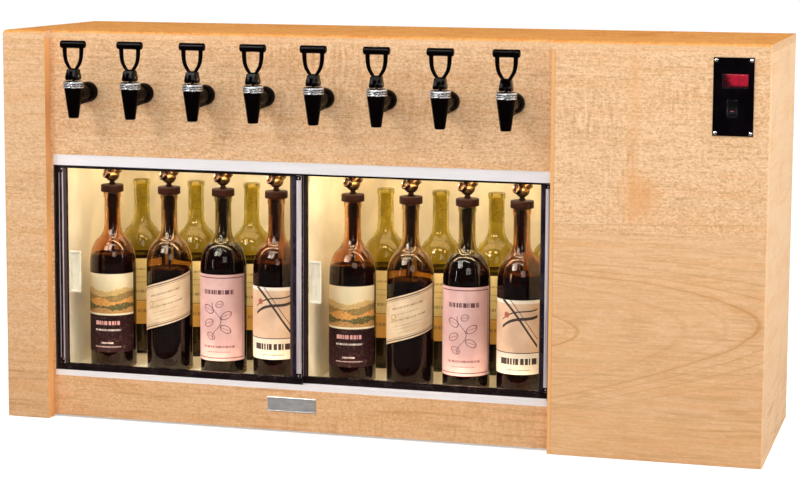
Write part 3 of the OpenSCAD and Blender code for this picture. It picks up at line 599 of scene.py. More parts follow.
lamp = G("lamp_diffuser")
co = lamp.coord()
lx, ly, lz = lamp.sep(co)
ribs = lamp.math("SINE", lamp.mul(lx, 3200))
ends = lamp.math("MAXIMUM", lamp.near(lx, -0.505, 0.0052), lamp.math("MAXIMUM", lamp.near(lx, -0.135, 0.0052),
                 lamp.math("MAXIMUM", lamp.near(lx, -0.103, 0.0052), lamp.near(lx, 0.263, 0.0052))))
glow = lamp.mul(lamp.sub(1.0, ends), lamp.span(ribs, -1, 1, 0.85, 1.0))
lamp.set(color=lamp.mix(ends, (0.9, 0.86, 0.76), (0.5, 0.5, 0.48)), rough=0.4,
         emit=lamp.mix(glow, (0, 0, 0), (1.0, 0.80, 0.52)), emit_s=2.2)
dress("chamber_lamp", lamp.m)

track = G("track_silver")
co = track.coord()
lines = track.noise(track.mapping(co, scale=(6, 900, 1400)), 1, 3, 0.6)
haze = track.noise(track.mapping(co, scale=(14, 60, 60)), 1, 3, 0.6)
track.set(color=track.mix(track.soft(track.add(lines, track.mul(track.sub(haze, 0.5), 0.4)), 0.3, 0.72), (0.90, 0.865, 0.89), (0.97, 0.94, 0.965)),
          metal=0.06, rough=track.span(lines, 0.3, 0.7, 0.30, 0.42), spec=0.6)
track.bump(lines, 0.05, 0.0002)
dress("door_track_top", track.m)
dress("door_track_bottom", track.m)
jamb = G("jamb_black")
co = jamb.coord()
_, jy, _ = jamb.sep(co)
jn = jamb.noise(jamb.mapping(co, scale=(200, 200, 20)), 1, 3, 0.6)
jamb.set(color=jamb.mix(jamb.soft(jn, 0.35, 0.7), (0.03, 0.028, 0.03), (0.055, 0.05, 0.052)), rough=jamb.span(jn, 0.3, 0.7, 0.3, 0.42))
jamb.bump(jn, 0.05, 0.0002)
dress("door_jambs", jamb.m)

pane = glass("door_pane", (0.985, 0.99, 0.985), ior=1.12, wave=0.0)
dress("left_door_glass", pane)
dress("right_door_glass", pane)

# ---------------------------------------------------------------- hidden works
dress("shank_nuts", brushed("nut_brass", (0.72, 0.55, 0.28), 0.32, "y"))
dress("bonnet_springs", brushed("spring_steel", (0.62, 0.62, 0.64), 0.28, "z"))
# dark steel: its dark colour paints the shade in the yoke's slot, where the stem shows
stem_m = brushed("stem_steel", (0.10, 0.10, 0.105), 0.22, "z")
for i in range(8):
    dress(f"stem_{i + 1}", stem_m)
dress("controller_box", plain("box_grey", (0.16, 0.16, 0.17), 0.5, var=0.15, bump=0.12))
dress("compressor", plain("compressor_black", (0.022, 0.022, 0.024), 0.38, var=0.25, bump=0.15, grain=(40, 40, 40)))
dress("condenser", brushed("coil_metal", (0.62, 0.62, 0.64), 0.36, "x"))
dress("evaporator", brushed("evaporator_metal", (0.70, 0.71, 0.72), 0.34, "x"))
dress("condenser_fan", plain("fan_black", (0.035, 0.035, 0.038), 0.45, var=0.25, bump=0.1))
dress("evaporator_fan", bpy.data.materials["fan_black"])
dress("gas_manifold", brushed("gas_brass", (0.74, 0.58, 0.30), 0.30, "x"))
tube = G("line_clear")
co = tube.coord()
tn = tube.noise(tube.mapping(co, scale=(60, 60, 60)), 1, 3, 0.6)
tube.set(color=tube.mix(tube.soft(tn, 0.35, 0.65), (0.80, 0.77, 0.66), (0.88, 0.86, 0.78)), rough=tube.span(tn, 0.3, 0.7, 0.22, 0.34),
         sss=0.25, sss_s=0.002)
tube.bump(tn, 0.04, 0.0003)
dress("fluid_lines", tube.m)

# ---------------------------------------------------------------- doors
frame_black = gloss_black("frame_black", (0.008, 0.0035, 0.004), 0.20, 0.16)
frame_navy = gloss_black("frame_navy", (0.012, 0.007, 0.016), 0.22, 0.20)
frame_brown = plain("frame_brown", (0.040, 0.010, 0.006), 0.45, var=0.2, grain=(90, 90, 20), bump=0.08)
# grey metal for narrow facets of the dark gloss frame: painted highlight
frame_grey = brushed("frame_grey", (0.60, 0.53, 0.55), 0.34, "z", 0.10, 0.35)
# pale metal for the frame's beads, pull strips and rivet heads: painted highlight, fading darker towards the bottom
pale = G("frame_pale")
co = pale.coord()
_, _, pz = pale.sep(co)
pn1 = pale.noise(pale.mapping(co, scale=(1500, 1500, 14)), 1, 3, 0.6)
pale.set(color=pale.mix(pale.soft(pn1, 0.3, 0.7), pale.mix(pale.soft(pz, 0.17, 0.31), (0.42, 0.33, 0.35), (0.80, 0.70, 0.76)), (0.92, 0.84, 0.88)),
         metal=0.25, rough=pale.span(pn1, 0.3, 0.7, 0.16, 0.28), spec=0.6)
pale.bump(pn1, 0.06, 0.0002)
frame_pale = pale.m
FR = [frame_black, frame_navy, frame_brown, frame_grey, frame_pale]
BLACK, NAVY, BROWN, GREY, PALE = range(5)
Z0, Z1, ZR, ZT = 71.5, 423.0, 88.0, 409.0


def stile(b, x, y, z0, z1, pts, ms, back):
    """Extrudes a moulded stile. pts are (x, y) along its front face from left to right."""
    poly = [(x + p[0], y + p[1]) for p in pts] + [(x + pts[-1][0], y + back), (x + pts[0][0], y + back)]
    n = len(poly)
    a = [(q[0], q[1], z0) for q in poly]
    c = [(q[0], q[1], z1) for q in poly]
    faces = [tuple(range(n)), tuple(range(2 * n - 1, n - 1, -1))] + [(i, i + n, (i + 1) % n + n, (i + 1) % n) for i in range(n)]
    idx = [BLACK, BLACK] + list(ms) + [BLACK] * (n - len(ms))
    b.add(a + c, faces, idx)


def door(name, x, y, left_w, body, first):
    b = Build()
    g = 0.1
    # bottom and top rails with a stepped glazing lip
    for za, zb in ((Z0, ZR), (ZT, Z1)):
        poly = [(y + 0.6, za), (y, za + 0.8), (y, zb - 3.2), (y + 1.4, zb - 2.4), (y + 1.4, zb), (y + 8, zb), (y + 8, za)]
        if za > 200:
            # its front lip hangs a little over the glass
            poly = [(y + 8, za), (y + 1.8, za), (y + 1.8, za - 1.9), (y + 0.5, za - 1.9), (y, za - 1.2), (y, zb - 0.8), (y + 0.6, zb), (y + 8, zb)]
        b.prism(poly, x, x + 417, "x", BLACK)
    # left stile: ribs, a bead and a dark glazing strip; its grey facets and pale bead are painted highlights on the
    # dark gloss frame
    if first:
        pts = [(0, 0.9), (0.6, 0.1), (3.8, 0.1), (4.2, 0.9), (4.6, 1.5), (6.2, 1.5), (6.6, 0.3), (9.8, 0.3), (10.2, 1.2), (10.5, 0.5),
               (11.3, 0.05), (12.1, 0.5), (12.5, 1.2), (12.7, 2.0), (18.0, 2.0)]
        ms = [BLACK, BLACK, BLACK, BLACK, GREY, BLACK, NAVY, NAVY, PALE, PALE, PALE, PALE, BROWN, BROWN]
    else:
        pts = [(0, 0.9), (0.6, 0.1), (5.0, 0.1), (5.5, 0.9), (9.5, 0.9), (10.0, 0.1), (19.0, 0.1), (19.6, 1.0), (20.6, 1.0), (21.2, 0.2),
               (22.6, 0.2), (23.2, 1.6), (24.2, 2.0), (28.0, 2.0)]
        ms = [BLACK, BROWN, BROWN, BLACK, BLACK, BLACK, BLACK, GREY, BLACK, GREY, BLACK, BROWN, BROWN]
    stile(b, x, y, ZR + g, ZT - g, pts, ms, 8)
    # right stile and the pull strip with its curved face, drawn pale as a painted highlight
    rx = 401.0
    pts = [(rx, 2.0), (rx + 0.9, 2.0), (rx + 1.3, 0.4), (rx + 2.0, 0.1), (rx + 6.9, 0.1), (rx + 7.5, 0.5), (rx + 7.9, 1.0)]
    ms = [BROWN, BLACK, NAVY, NAVY, NAVY, BLACK]
    stile(b, x, y, ZR + g, ZT - g, pts, ms, 8)
    px = rx + 8
    arc = [(px + 4 + 4.6 * math.sin(math.radians(a)), 1.2 - 4.6 * math.cos(math.radians(a)) + 0.0) for a in range(-60, 61, 10)]
    pts = [(px, 0.0)] + [(q[0], q[1]) for q in arc] + [(px + 8, 0.0)]
    ms = [PALE] * (len(pts) - 1)
    stile(b, x, y, ZR + g, ZT - g, pts, ms, 8)
    # black end blocks over the strip with a small bright rivet each
    o = place(name + "_frame", b.mesh(name + "_frame", 30), FR, (0, 0, 0), body)
    o.matrix_world = Matrix.Translation(P(0, 0, 0))
    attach(o, body)
    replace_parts(o, name + "_frame")
    c = Build()
    for zz, s in ((ZR + 0.3, 1), (ZT - 7.3, -1)):
        c.box((x + px - 0.4, y - 3.6, zz), (x + 416.8, y + 0.2, zz + 7.0), 0)
        c.lathe([(0, 0.55), (0.7, 0.45), (1.0, 0.0)], 16, (x + px + 4, y - 3.6, zz + 3.4), Matrix.Rotation(math.radians(90), 3, "X"), 1)
    if first:
        for zz in (ZT - 9.0, ZR + 1.0):
            c.box((x + 0.3, y - 0.6, zz), (x + 12.4, y + 0.4, zz + 7.6), 0)
            c.lathe([(0, 0.6), (0.8, 0.5), (1.1, 0.0)], 16, (x + 10.6, y - 0.6, zz + 5.6), Matrix.Rotation(math.radians(90), 3, "X"), 1)
    place(name + "_end_blocks", c.mesh(name + "_end_blocks", 30), [frame_black, frame_pale], (0, 0, 0), body, bevel=0.5)
    return o


door("left_door", 79, 23, 18, "left_door", True)
door("right_door", 473, 35, 28, "right_door", False)

ivory = G("pull_ivory")
co = ivory.coord()
iv = ivory.noise(ivory.mapping(co, scale=(80, 80, 40)), 1, 3, 0.5)
ivory.set(color=ivory.mix(ivory.soft(iv, 0.35, 0.65), (0.86, 0.78, 0.58), (0.93, 0.87, 0.70)), rough=ivory.span(iv, 0.3, 0.7, 0.24, 0.34),
          spec=0.5, sss=0.15, sss_s=0.002)
ivory.bump(iv, 0.03, 0.0003)


def finger_pull(name, x, y, body):
    """Frame with a rounded well; x, y are its left edge and front face."""
    b = Build()
    z0, z1, w, d = 206.0, 273.0, 19.5, 4.45
    def ring(x0, x1, za, zb, yy, r, n=5):
        out = []
        for cx, cz, a0 in ((x1 - r, zb - r, 0), (x0 + r, zb - r, 90), (x0 + r, za + r, 180), (x1 - r, za + r, 270)):
            for k in range(n + 1):
                a = math.radians(a0 + 90 * k / n)
                out.append((cx + r * math.cos(a), yy, cz + r * math.sin(a)))
        return out
    rings = [ring(x, x + w, z0, z1, y + d, 1.2), ring(x, x + w, z0, z1, y + 0.9, 1.2), ring(x + 0.3, x + w - 0.3, z0 + 0.3, z1 - 0.3, y + 0.25, 1.2),
             ring(x + 0.9, x + w - 0.9, z0 + 0.9, z1 - 0.9, y, 1.2), ring(x + 2.0, x + 17.5, z0 + 2.4, z1 - 2.4, y, 1.6),
             ring(x + 2.5, x + 17.0, z0 + 3.0, z1 - 3.0, y + 0.5, 1.6), ring(x + 3.0, x + 16.5, z0 + 3.8, z1 - 3.8, y + 2.9, 1.8),
             ring(x + 4.0, x + 15.5, z0 + 5.0, z1 - 5.0, y + 3.25, 1.8)]
    n = len(rings[0])
    pts = [p for r in rings for p in r]
    faces = [tuple(range(n))] + [tuple(range((len(rings) - 1) * n, len(rings) * n))]
    for i in range(len(rings) - 1):
        for k in range(n):
            j = (k + 1) % n
            faces.append((i * n + k, i * n + j, (i + 1) * n + j, (i + 1) * n + k))
    b.add(pts, faces)
    o = place(name, b.mesh(name, 38), [ivory.m], (0, 0, 0), body)
    return o


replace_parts(finger_pull("left_finger_pull", 102, 20.5, "left_door"), "left_door_pull")
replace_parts(finger_pull("right_finger_pull", 505, 32.5, "right_door"), "right_door_pull")

# ---------------------------------------------------------------- taps
tap_gloss = gloss_black("tap_gloss", (0.0014, 0.0007, 0.0008), 0.05, 0.03)
yoke_gloss = gloss_black("yoke_gloss", (0.0014, 0.0007, 0.0008), 0.05, 0.045)
ROT_FRONT = Matrix.Rotation(math.radians(90), 3, "X")      # lathe axis to -Y
BARREL = 4.5                                               # barrel axis above the tap's datum

tb = Build()
prof = [(0, 0), (15.7, 0.0), (16.3, 0.8)]
for k in range(0, 11):
    a = math.radians(8 * k)
    prof.append((11.4 + 5.15 * math.cos(a), 2.5 + 15 * math.sin(a)))
prof += [(11.5, 21.0), (11.2, 30.0), (10.9, 46), (0, 46)]
tb.lathe(prof, 64, (0, FRONT_Y, BARREL), ROT_FRONT)
# spout with its rolled mouth and bore
tb.lathe([(0, -19), (5.6, -19), (5.6, -31.8), (6.0, -32.8), (7.0, -33.0), (7.8, -32.4), (8.35, -30.4), (8.8, -27.0), (14.65, 14.3), (0, 14.3)], 64, (0, SPOUT_Y, 0))
# web under the barrel, swept from the bulb down to the spout
web = [(14, -4), (SPOUT_Y, -4), (SPOUT_Y, -15.5), (SPOUT_Y + 12, -13.2), (SPOUT_Y + 26, -12), (-3, -11.4), (6, -11), (14, -9.5)]
tb.prism(web, -6.5, 6.5, "x")
body_mesh = remeshed(tb, "tap_body", 0.6, 5, 0.5, [tap_gloss])
# threaded shank behind the flange
sh = Build()
prof = [(0, 0.0), (10.6, 0.0)]
z = 1.0
while z < 46.0:
    prof += [(10.95, z), (10.2, z + 0.75)]
    z += 1.5
prof += [(10.0, 46.6), (4.0, 46.6), (4.0, 30.0), (0, 30.0)]
sh.lathe(prof, 40, (0, FRONT_Y + 0.2, BARREL), Matrix.Rotation(math.radians(-90), 3, "X"))
shank_mesh = sh.mesh("tap_shank", 60)
bn = Build()
bprof = [(8.3, 14.6), (15.2, 14.6), (15.9, 15.0), (16.1, 15.7), (15.9, 16.5), (15.3, 16.9), (15.1, 17.3), (15.2, 17.7), (16.2, 18.1), (16.8, 19.2), (16.2, 20.3),
         (15.2, 20.7), (15.1, 21.2), (15.2, 21.6), (16.2, 22.0), (16.8, 23.2), (16.4, 24.1), (15.6, 24.5), (14.6, 24.7), (14.2, 25.2), (13.4, 25.8), (12.6, 26.0),
         (6.0, 26.0), (2.7, 25.9), (2.6, 19.2), (8.2, 18.9)]
# ribs in pale chrome drawn as painted reflection, grooves and crown in black gloss; the grooves' black paints the shade
# in them
bmi = [0] * 5 + [1, 1] + [0] * 4 + [1, 1] + [0] * 5 + [1] * 8
bn.lathe(bprof, 72, (0, SPOUT_Y, 0), mi=bmi, closed=True)
bonnet_mesh = bn.mesh("tap_bonnet", 50)

# handle: crisp yoke with a slot, then arms and grip
E = 5.7735


def yoke_side(inset, low):
    """Side view (y, z) of the yoke: cam feet below, tapered faces and a chamfer above."""
    c = 6.0 - inset
    pts = []
    if low:
        pts += [(-E + c * math.cos(math.radians(270 - 15 * k)), c * math.sin(math.radians(270 - 15 * k))) for k in range(0, 7)]
    else:
        pts += [(-9.2 + inset, 5.4)]
    pts += [(-9.6 + inset, 4.4), (-8.9 + inset, 9.3), (-8.1 + inset, 11.0 - inset), (8.1 - inset, 11.0 - inset), (8.9 - inset, 9.3), (9.6 - inset, 4.4)]
    if low:
        pts += [(E + c * math.cos(math.radians(-15 * k)), c * math.sin(math.radians(-15 * k))) for k in range(0, 7)]
    else:
        pts += [(9.2 - inset, 5.4)]
    return pts


def half_width(z):
    return 9.6 - 1.9 * (z + 7) / 18


yk = Build()


def loft(b, stations):
    """Joins equal outlines at (x function, outline) stations and closes both ends."""
    n = len(stations[0][1])
    pts = []
    for fx, poly in stations:
        pts += [(fx(q[1]), q[0], q[1]) for q in poly]
    faces = [tuple(range(n)), tuple(range((len(stations) - 1) * n, len(stations) * n))]
    for i in range(len(stations) - 1):
        for k in range(n):
            j = (k + 1) % n
            faces.append((i * n + k, i * n + j, (i + 1) * n + j, (i + 1) * n + k))
    b.add(pts, faces)


for s in (-1, 1):
    loft(yk, [(lambda z, s=s: s * 2.8, yoke_side(0.0, True)), (lambda z, s=s: s * (half_width(z) - 0.7), yoke_side(0.0, True)),
              (lambda z, s=s: s * (half_width(z) - 0.2), yoke_side(0.25, True)), (lambda z, s=s: s * half_width(z), yoke_side(0.8, True))])
loft(yk, [(lambda z: -2.8, yoke_side(0.0, False)), (lambda z: 2.8, yoke_side(0.0, False))])
# the slot's front is closed above the stem's swing
yk.prism([(-9.3, 0.6), (-9.45, 4.4), (-9.3, 5.6), (-6.6, 5.6), (-6.6, 2.2), (-7.6, 0.6)], -2.9, 2.9, "x")
yoke_mesh = yk.mesh("lever_yoke", 24)
lv = Build()


def bez(p, n=22):
    """Smooth curve through control points (Catmull-Rom)."""
    q = [Vector(p[0]) * 2 - Vector(p[1])] + [Vector(v) for v in p] + [Vector(p[-1]) * 2 - Vector(p[-2])]
    out = []
    for i in range(1, len(q) - 2):
        for k in range(n // (len(p) - 1) + 1):
            t = k / (n // (len(p) - 1) + 1)
            out.append(0.5 * ((2 * q[i]) + (q[i + 1] - q[i - 1]) * t + (2 * q[i - 1] - 5 * q[i] + 4 * q[i + 1] - q[i + 2]) * t * t
                              + (3 * q[i] - q[i - 1] - 3 * q[i + 1] + q[i + 2]) * t ** 3))
    out.append(q[-2])
    return out


for s in (-1, 1):
    arm = bez([(s * 4.2, 0, 9.4), (s * 5.9, 0, 12.6), (s * 8.6, 0, 16.6), (s * 11.7, 0, 22.6), (s * 13.4, 0, 30.0), (s * 14.1, 0, 39.0), (s * 14.2, 0, 49.5)], 42)
    radius = [2.7 + 0.75 * min(1.0, max(0.0, (q.z - 13) / 24)) for q in arm]
    lv.sweep(arm, radius, 20, (1.0, 0.92), (0, 1, 0))
lv.box((-5.4, -2.7, 10.2), (5.4, 2.7, 12.6))
W2 = 20.8
gp = [(0, -W2), (4.2, -W2 + 0.1), (5.5, -W2 + 0.8), (6.0, -W2 + 2.2), (6.05, -W2 + 5), (6.0, -W2 + 9), (5.95, 0), (6.0, W2 - 9), (6.05, W2 - 5),
      (6.0, W2 - 2.2), (5.5, W2 - 0.8), (4.2, W2 - 0.1), (0, W2)]
lv.lathe(gp, 40, (0, 0, 49.8), Matrix.Rotation(math.radians(90), 3, "Y"))
lever_mesh = remeshed(lv, "lever_handle", 0.5, 2, 0.45, [tap_gloss])
pn = Build()
pn.lathe([(0, -8.6), (1.2, -8.6), (1.5, -8.2), (1.5, 8.2), (1.2, 8.6), (0, 8.6)], 24, (0, 0, 0), Matrix.Rotation(math.radians(90), 3, "Y"))
for s in (-1, 1):
    pn.lathe([(0, 9.5), (1.5, 9.4), (2.1, 9.1), (2.3, 8.7), (2.3, 8.3), (0, 8.3)], 24, (0, 0, 0),
             Matrix.Rotation(math.radians(90 * s), 3, "Y"))
pin_mesh = pn.mesh("lever_pin", 40)
pin_metal = brushed("pin_steel", (0.20, 0.20, 0.21), 0.25, "x")
# collar chrome: its half-diffuse pale base is a painted reflection, and the dark noise patches (ch3) are painted dark
# reflections
chrome = G("bonnet_chrome")
co = chrome.coord()
ch1 = chrome.noise(chrome.mapping(co, scale=(150, 150, 330)), 1, 3, 0.55, 0.9)
ch2 = chrome.noise(chrome.mapping(co, scale=(700, 700, 700)), 1, 3, 0.6)
ch3 = chrome.noise(chrome.mapping(co, scale=(120, 120, 520), loc=(0.3, 0.1, 0.7)), 1, 2, 0.5, 1.6)
tone = chrome.mix(chrome.soft(ch1, 0.36, 0.62), (0.72, 0.72, 0.74), (0.95, 0.95, 0.96))
chrome.set(color=chrome.mix(chrome.soft(ch3, 0.50, 0.44), tone, (0.02, 0.018, 0.02)), metal=0.45,
           rough=chrome.span(ch2, 0.3, 0.7, 0.08, 0.16), spec=0.7)
chrome.bump(chrome.add(ch1, chrome.mul(ch2, 0.1)), 0.35, 0.0008)
groove = gloss_black("bonnet_groove", (0.006, 0.006, 0.0065), 0.12, 0.4)
shank_metal = brushed("shank_metal", (0.55, 0.52, 0.46), 0.3, "y")
for i, tx in enumerate(TAP_X):
    o = place(f"tap_body_{i + 1}", body_mesh, (), (tx, 0, TAP_Z), "root")
    place(f"tap_shank_{i + 1}", shank_mesh, [shank_metal], (tx, 0, TAP_Z), "root")
    q = place(f"tap_bonnet_{i + 1}", bonnet_mesh, [chrome.m, groove], (tx, 0, TAP_Z), "root")
    if i == 0:
        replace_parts(o, "tap_bodies")
        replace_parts(q, "tap_bonnets")
    h = place(f"lever_handle_{i + 1}", lever_mesh, (), (tx, SPOUT_Y, PIN_Z), f"lever_{i + 1}")
    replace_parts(h, f"lever_{i + 1}")
    place(f"lever_yoke_{i + 1}", yoke_mesh, [yoke_gloss], (tx, SPOUT_Y, PIN_Z), f"lever_{i + 1}")
    place(f"lever_pin_{i + 1}", pin_mesh, [pin_metal], (tx, SPOUT_Y, PIN_Z), f"lever_{i + 1}")

# ---------------------------------------------------------------- control panel
plate_m = gloss_black("plate_gloss", (0.0015, 0.0008, 0.0018), 0.10, 0.22)
pb = Build()


def plate_with_holes(b, x0, x1, z0, z1, y0, y1, holes):
    xs = sorted({x0, x1, *[h[0] for h in holes], *[h[1] for h in holes]})
    zs = sorted({z0, z1, *[h[2] for h in holes], *[h[3] for h in holes]})
    def solid(i, j):
        cx, cz = (xs[i] + xs[i + 1]) / 2, (zs[j] + zs[j + 1]) / 2
        return not any(h[0] < cx < h[1] and h[2] < cz < h[3] for h in holes)
    pts, ids = [], {}
    def vid(i, j, y):
        k = (i, j, y)
        if k not in ids:
            ids[k] = len(pts)
            pts.append((xs[i], y, zs[j]))
        return ids[k]
    faces = []
    nx, nz = len(xs) - 1, len(zs) - 1
    for i in range(nx):
        for j in range(nz):
            if not solid(i, j):
                continue
            faces.append((vid(i, j, y0), vid(i + 1, j, y0), vid(i + 1, j + 1, y0), vid(i, j + 1, y0)))
            faces.append((vid(i, j, y1), vid(i, j + 1, y1), vid(i + 1, j + 1, y1), vid(i + 1, j, y1)))
            for di, dj, q in ((-1, 0, ((i, j), (i, j + 1))), (1, 0, ((i + 1, j + 1), (i + 1, j))), (0, -1, ((i + 1, j), (i, j))), (0, 1, ((i, j + 1), (i + 1, j + 1)))):
                ii, jj = i + di, j + dj
                if 0 <= ii < nx and 0 <= jj < nz and solid(ii, jj):
                    continue
                (a, c), (e, f) = q
                faces.append((vid(a, c, y0), vid(a, c, y1), vid(e, f, y1), vid(e, f, y0)))
    b.add(pts, faces)


plate_with_holes(pb, 1136, 1195.5, 493.5, 608.5, -2, 0, [(1149, 1187, 564, 584.5), (1156.6, 1172.4, 521.4, 546.6)])
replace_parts(place("control_face", pb.mesh("control_face", 30), [plate_m], (0, 0, 0), "root", bevel=0.45), "control_plate")

red = G("display_red")
co = red.coord()
rx, ry, rz = red.sep(co)
rag = red.noise(red.mapping(co, scale=(180, 10, 220)), 1, 3, 0.6)
slope = red.add(red.add(rx, red.mul(red.sub(rz, 0.574), 0.35)), red.mul(red.sub(rag, 0.5), 0.012))
grad = red.mul(red.soft(slope, 1.1535, 1.1665), red.soft(rz, 0.5655, 0.5695))
seg = red.noise(red.mapping(co, scale=(260, 10, 160)), 1, 3, 0.6)
tone = red.mix(grad, (0.016, 0.002, 0.004), (0.34, 0.008, 0.024))
tone = red.mix(red.mul(red.soft(seg, 0.45, 0.7), 0.55), tone, (0.07, 0.004, 0.010))
divider = red.near(rx, 1.1735, 0.0007)
tone = red.mix(red.mul(divider, 0.6), tone, (0.10, 0.004, 0.01))
red.set(color=tone, rough=red.span(seg, 0.3, 0.7, 0.10, 0.18), spec=0.5, emit=tone, emit_s=0.35)
db = Build()
w0, w1, h0, h1 = 1149.15, 1186.85, 564.15, 584.35
rings = [[(w0, 3, h0), (w1, 3, h0), (w1, 3, h1), (w0, 3, h1)], [(w0, -1.4, h0), (w1, -1.4, h0), (w1, -1.4, h1), (w0, -1.4, h1)],
         [(w0 + 1.2, -2.5, h0 + 1.2), (w1 - 1.2, -2.5, h0 + 1.2), (w1 - 1.2, -2.5, h1 - 1.2), (w0 + 1.2, -2.5, h1 - 1.2)]]
pts = [p for r in rings for p in r]
fc = [(0, 1, 2, 3), (8, 11, 10, 9)]
for i in range(2):
    for k in range(4):
        j = (k + 1) % 4
        fc.append((i * 4 + k, i * 4 + j, i * 4 + 4 + j, i * 4 + 4 + k))
db.add(pts, fc)
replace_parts(place("display_lens", db.mesh("display_lens", 30), [red.m], (0, 0, 0), "root", bevel=0.4), "display_window")

# rocker, at rest with its upper half out; a raised mark on the lower half
rk = Build()
rot9 = Matrix.Rotation(math.radians(-9), 3, "X")
rp = [(-7.3, 10.2), (-6.6, 10.4)]
side = [(-7.6, 10.2), (-7.1, 6.6), (-6.45, 3.0), (-6.2, 0.0), (-6.45, -3.0), (-7.1, -6.6), (-7.6, -10.2), (-2, -10.4), (4, -4), (4, 4), (-2, 10.4)]
rk.prism(side, -7.3, 7.3, "x")
rk.lathe([(0, -9.3), (1.45, -9.3), (1.45, 9.3), (0, 9.3)], 20, (0, 0, 0), Matrix.Rotation(math.radians(90), 3, "Y"))
mk = Build()
mk.box((-2.4, -6.95, -5.9), (2.4, -6.4, -4.7))
rocker_m = gloss_black("rocker_gloss", (0.002, 0.002, 0.0025), 0.12, 0.5)
mark_m = plain("mark_red", (0.55, 0.05, 0.12), 0.4, var=0.1, bump=0.02)
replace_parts(place("rocker_paddle", rk.mesh("rocker_paddle", 28), [rocker_m], (1164.5, 5, 534), "rocker", rot=rot9, bevel=0.6), "rocker_switch")
place("rocker_mark", mk.mesh("rocker_mark", 30), [mark_m], (1164.5, 5, 534), "rocker", rot=rot9)

# ---------------------------------------------------------------- screws and plate
screw_m = brushed("screw_steel", (0.86, 0.86, 0.88), 0.22, "x", 0.08)


def screw(b, x, y, z, r, h, way, turn):
    """Domed head with a real slot; way is -1 for the front and 1 for the back."""
    n = 32
    rot = Matrix.Rotation(math.radians(90 if way < 0 else -90), 3, "X")
    rings, pts = [], []
    prof = [(r, 0), (r, h * 0.35), (r * 0.93, h * 0.7), (r * 0.72, h * 0.93), (r * 0.45, h), (0.0, h)]
    c, s = math.cos(turn), math.sin(turn)
    slot_w, deep = r * 0.17, h * 0.5
    # grid of radii and angles, points inside the slot pushed down
    radii = [0, 0.2, 0.4, 0.6, 0.75, 0.88, 0.96, 1.0]
    def height(q):
        return h * (1 - 0.65 * q ** 3)
    pts = [Vector((0, 0, h - deep))]
    ring_ids = [[0]]
    m = 64
    for q in radii[1:]:
        ids = []
        for k in range(m):
            a = 2 * math.pi * k / m
            px, pz = r * q * math.cos(a), r * q * math.sin(a)
            d = abs(-px * s + pz * c)
            hh = height(q)
            if d < slot_w:
                hh = h - deep
            pts.append(Vector((px, pz, hh)))
            ids.append(len(pts) - 1)
        ring_ids.append(ids)
    ids = []
    for k in range(m):
        a = 2 * math.pi * k / m
        pts.append(Vector((r * math.cos(a), r * math.sin(a), 0)))
        ids.append(len(pts) - 1)
    ring_ids.append(ids)
    faces = []
    for k in range(m):
        faces.append((0, ring_ids[1][k], ring_ids[1][(k + 1) % m]))
    for a, e in zip(ring_ids[1:], ring_ids[2:]):
        for k in range(m):
            j = (k + 1) % m
            faces.append((a[k], e[k], e[j], a[j]))
    faces.append(tuple(reversed(ring_ids[-1])))
    b.add([Vector((x, y, z)) + rot @ p for p in pts], faces)


sc = Build()
for i, (x, z) in enumerate([(1140.2, 497.7), (1140.2, 604.3), (1191.3, 497.7), (1191.3, 604.3)]):
    screw(sc, x, -2, z, 2.75, 1.9, -1, 0.5 + 0.9 * i)
for i, x in enumerate([34, 330, 630, 890, 1186]):
    for j, z in enumerate([12, 590]):
        screw(sc, x, 364, z, 4.2, 1.95, 1, 0.3 + 0.8 * i + 1.1 * j)
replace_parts(place("screw_heads", sc.mesh("screw_heads", 30), [screw_m], (0, 0, 0), "root"), "screws")

npb = Build()
x0, x1, z0, z1 = 441.0, 521.0, 33.0, 56.0
rr = [(19.0, 0.0), (17.8, 0.0), (17.4, 0.45), (17.4, 1.35), (17.72, 1.65)]
pts, fc = [], []
for yy, ins in rr:
    pts += [(x0 + ins, yy, z0 + ins), (x1 - ins, yy, z0 + ins), (x1 - ins, yy, z1 - ins), (x0 + ins, yy, z1 - ins)]
fc = [(0, 1, 2, 3), (16, 19, 18, 17)]
for i in range(4):
    for k in range(4):
        j = (k + 1) % 4
        fc.append((i * 4 + k, i * 4 + j, i * 4 + 4 + j, i * 4 + 4 + k))
npb.add(pts, fc)
np_m = G("plate_silver")
co = np_m.coord()
nl = np_m.noise(np_m.mapping(co, scale=(30, 900, 1600)), 1, 3, 0.6)
nc = np_m.noise(np_m.mapping(co, scale=(40, 40, 60)), 1, 3, 0.6, 0.5)
np_m.set(color=np_m.mix(np_m.soft(np_m.add(np_m.mul(nl, 0.6), np_m.mul(nc, 0.4)), 0.35, 0.65), (0.58, 0.56, 0.55), (0.84, 0.83, 0.82)), metal=0.85,
         rough=np_m.span(nl, 0.3, 0.7, 0.28, 0.45))
np_m.bump(nl, 0.08, 0.0002)
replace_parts(place("name_plate_bare", npb.mesh("name_plate_bare", 25), [np_m.m], (0, 0, 0), "root"), "name_plate")

# ---------------------------------------------------------------- bottles
BR = 37.8
sh_pts = [(BR - 24.5 + 24.5 * math.cos(math.radians(a)), 172 + 46 * math.sin(math.radians(a))) for a in range(0, 73, 6)]
out_prof = [(35.3, 0.35), (36.6, 0.9), (37.5, 2.0), (BR, 3.6), (BR, 60), (BR, 120)] + sh_pts + \
           [(18.6, 220), (15.6, 225), (14.0, 231), (13.2, 240), (13.2, 260), (13.2, 279.5), (13.5, 280.4), (14.3, 281.2), (14.5, 283.0), (14.5, 287.6),
            (14.0, 289.3), (12.9, 289.95), (10.4, 290)]
in_prof = [(0, 18), (8, 15), (22, 7.6), (30.5, 6.2), (33.2, 8.2), (BR - 2.7, 13), (BR - 2.6, 60), (BR - 2.6, 120)] + [(r - 2.5, h) for r, h in sh_pts] + \
          [(16.1, 219), (13.0, 224), (11.2, 231), (9.35, 240), (9.35, 288.8)]
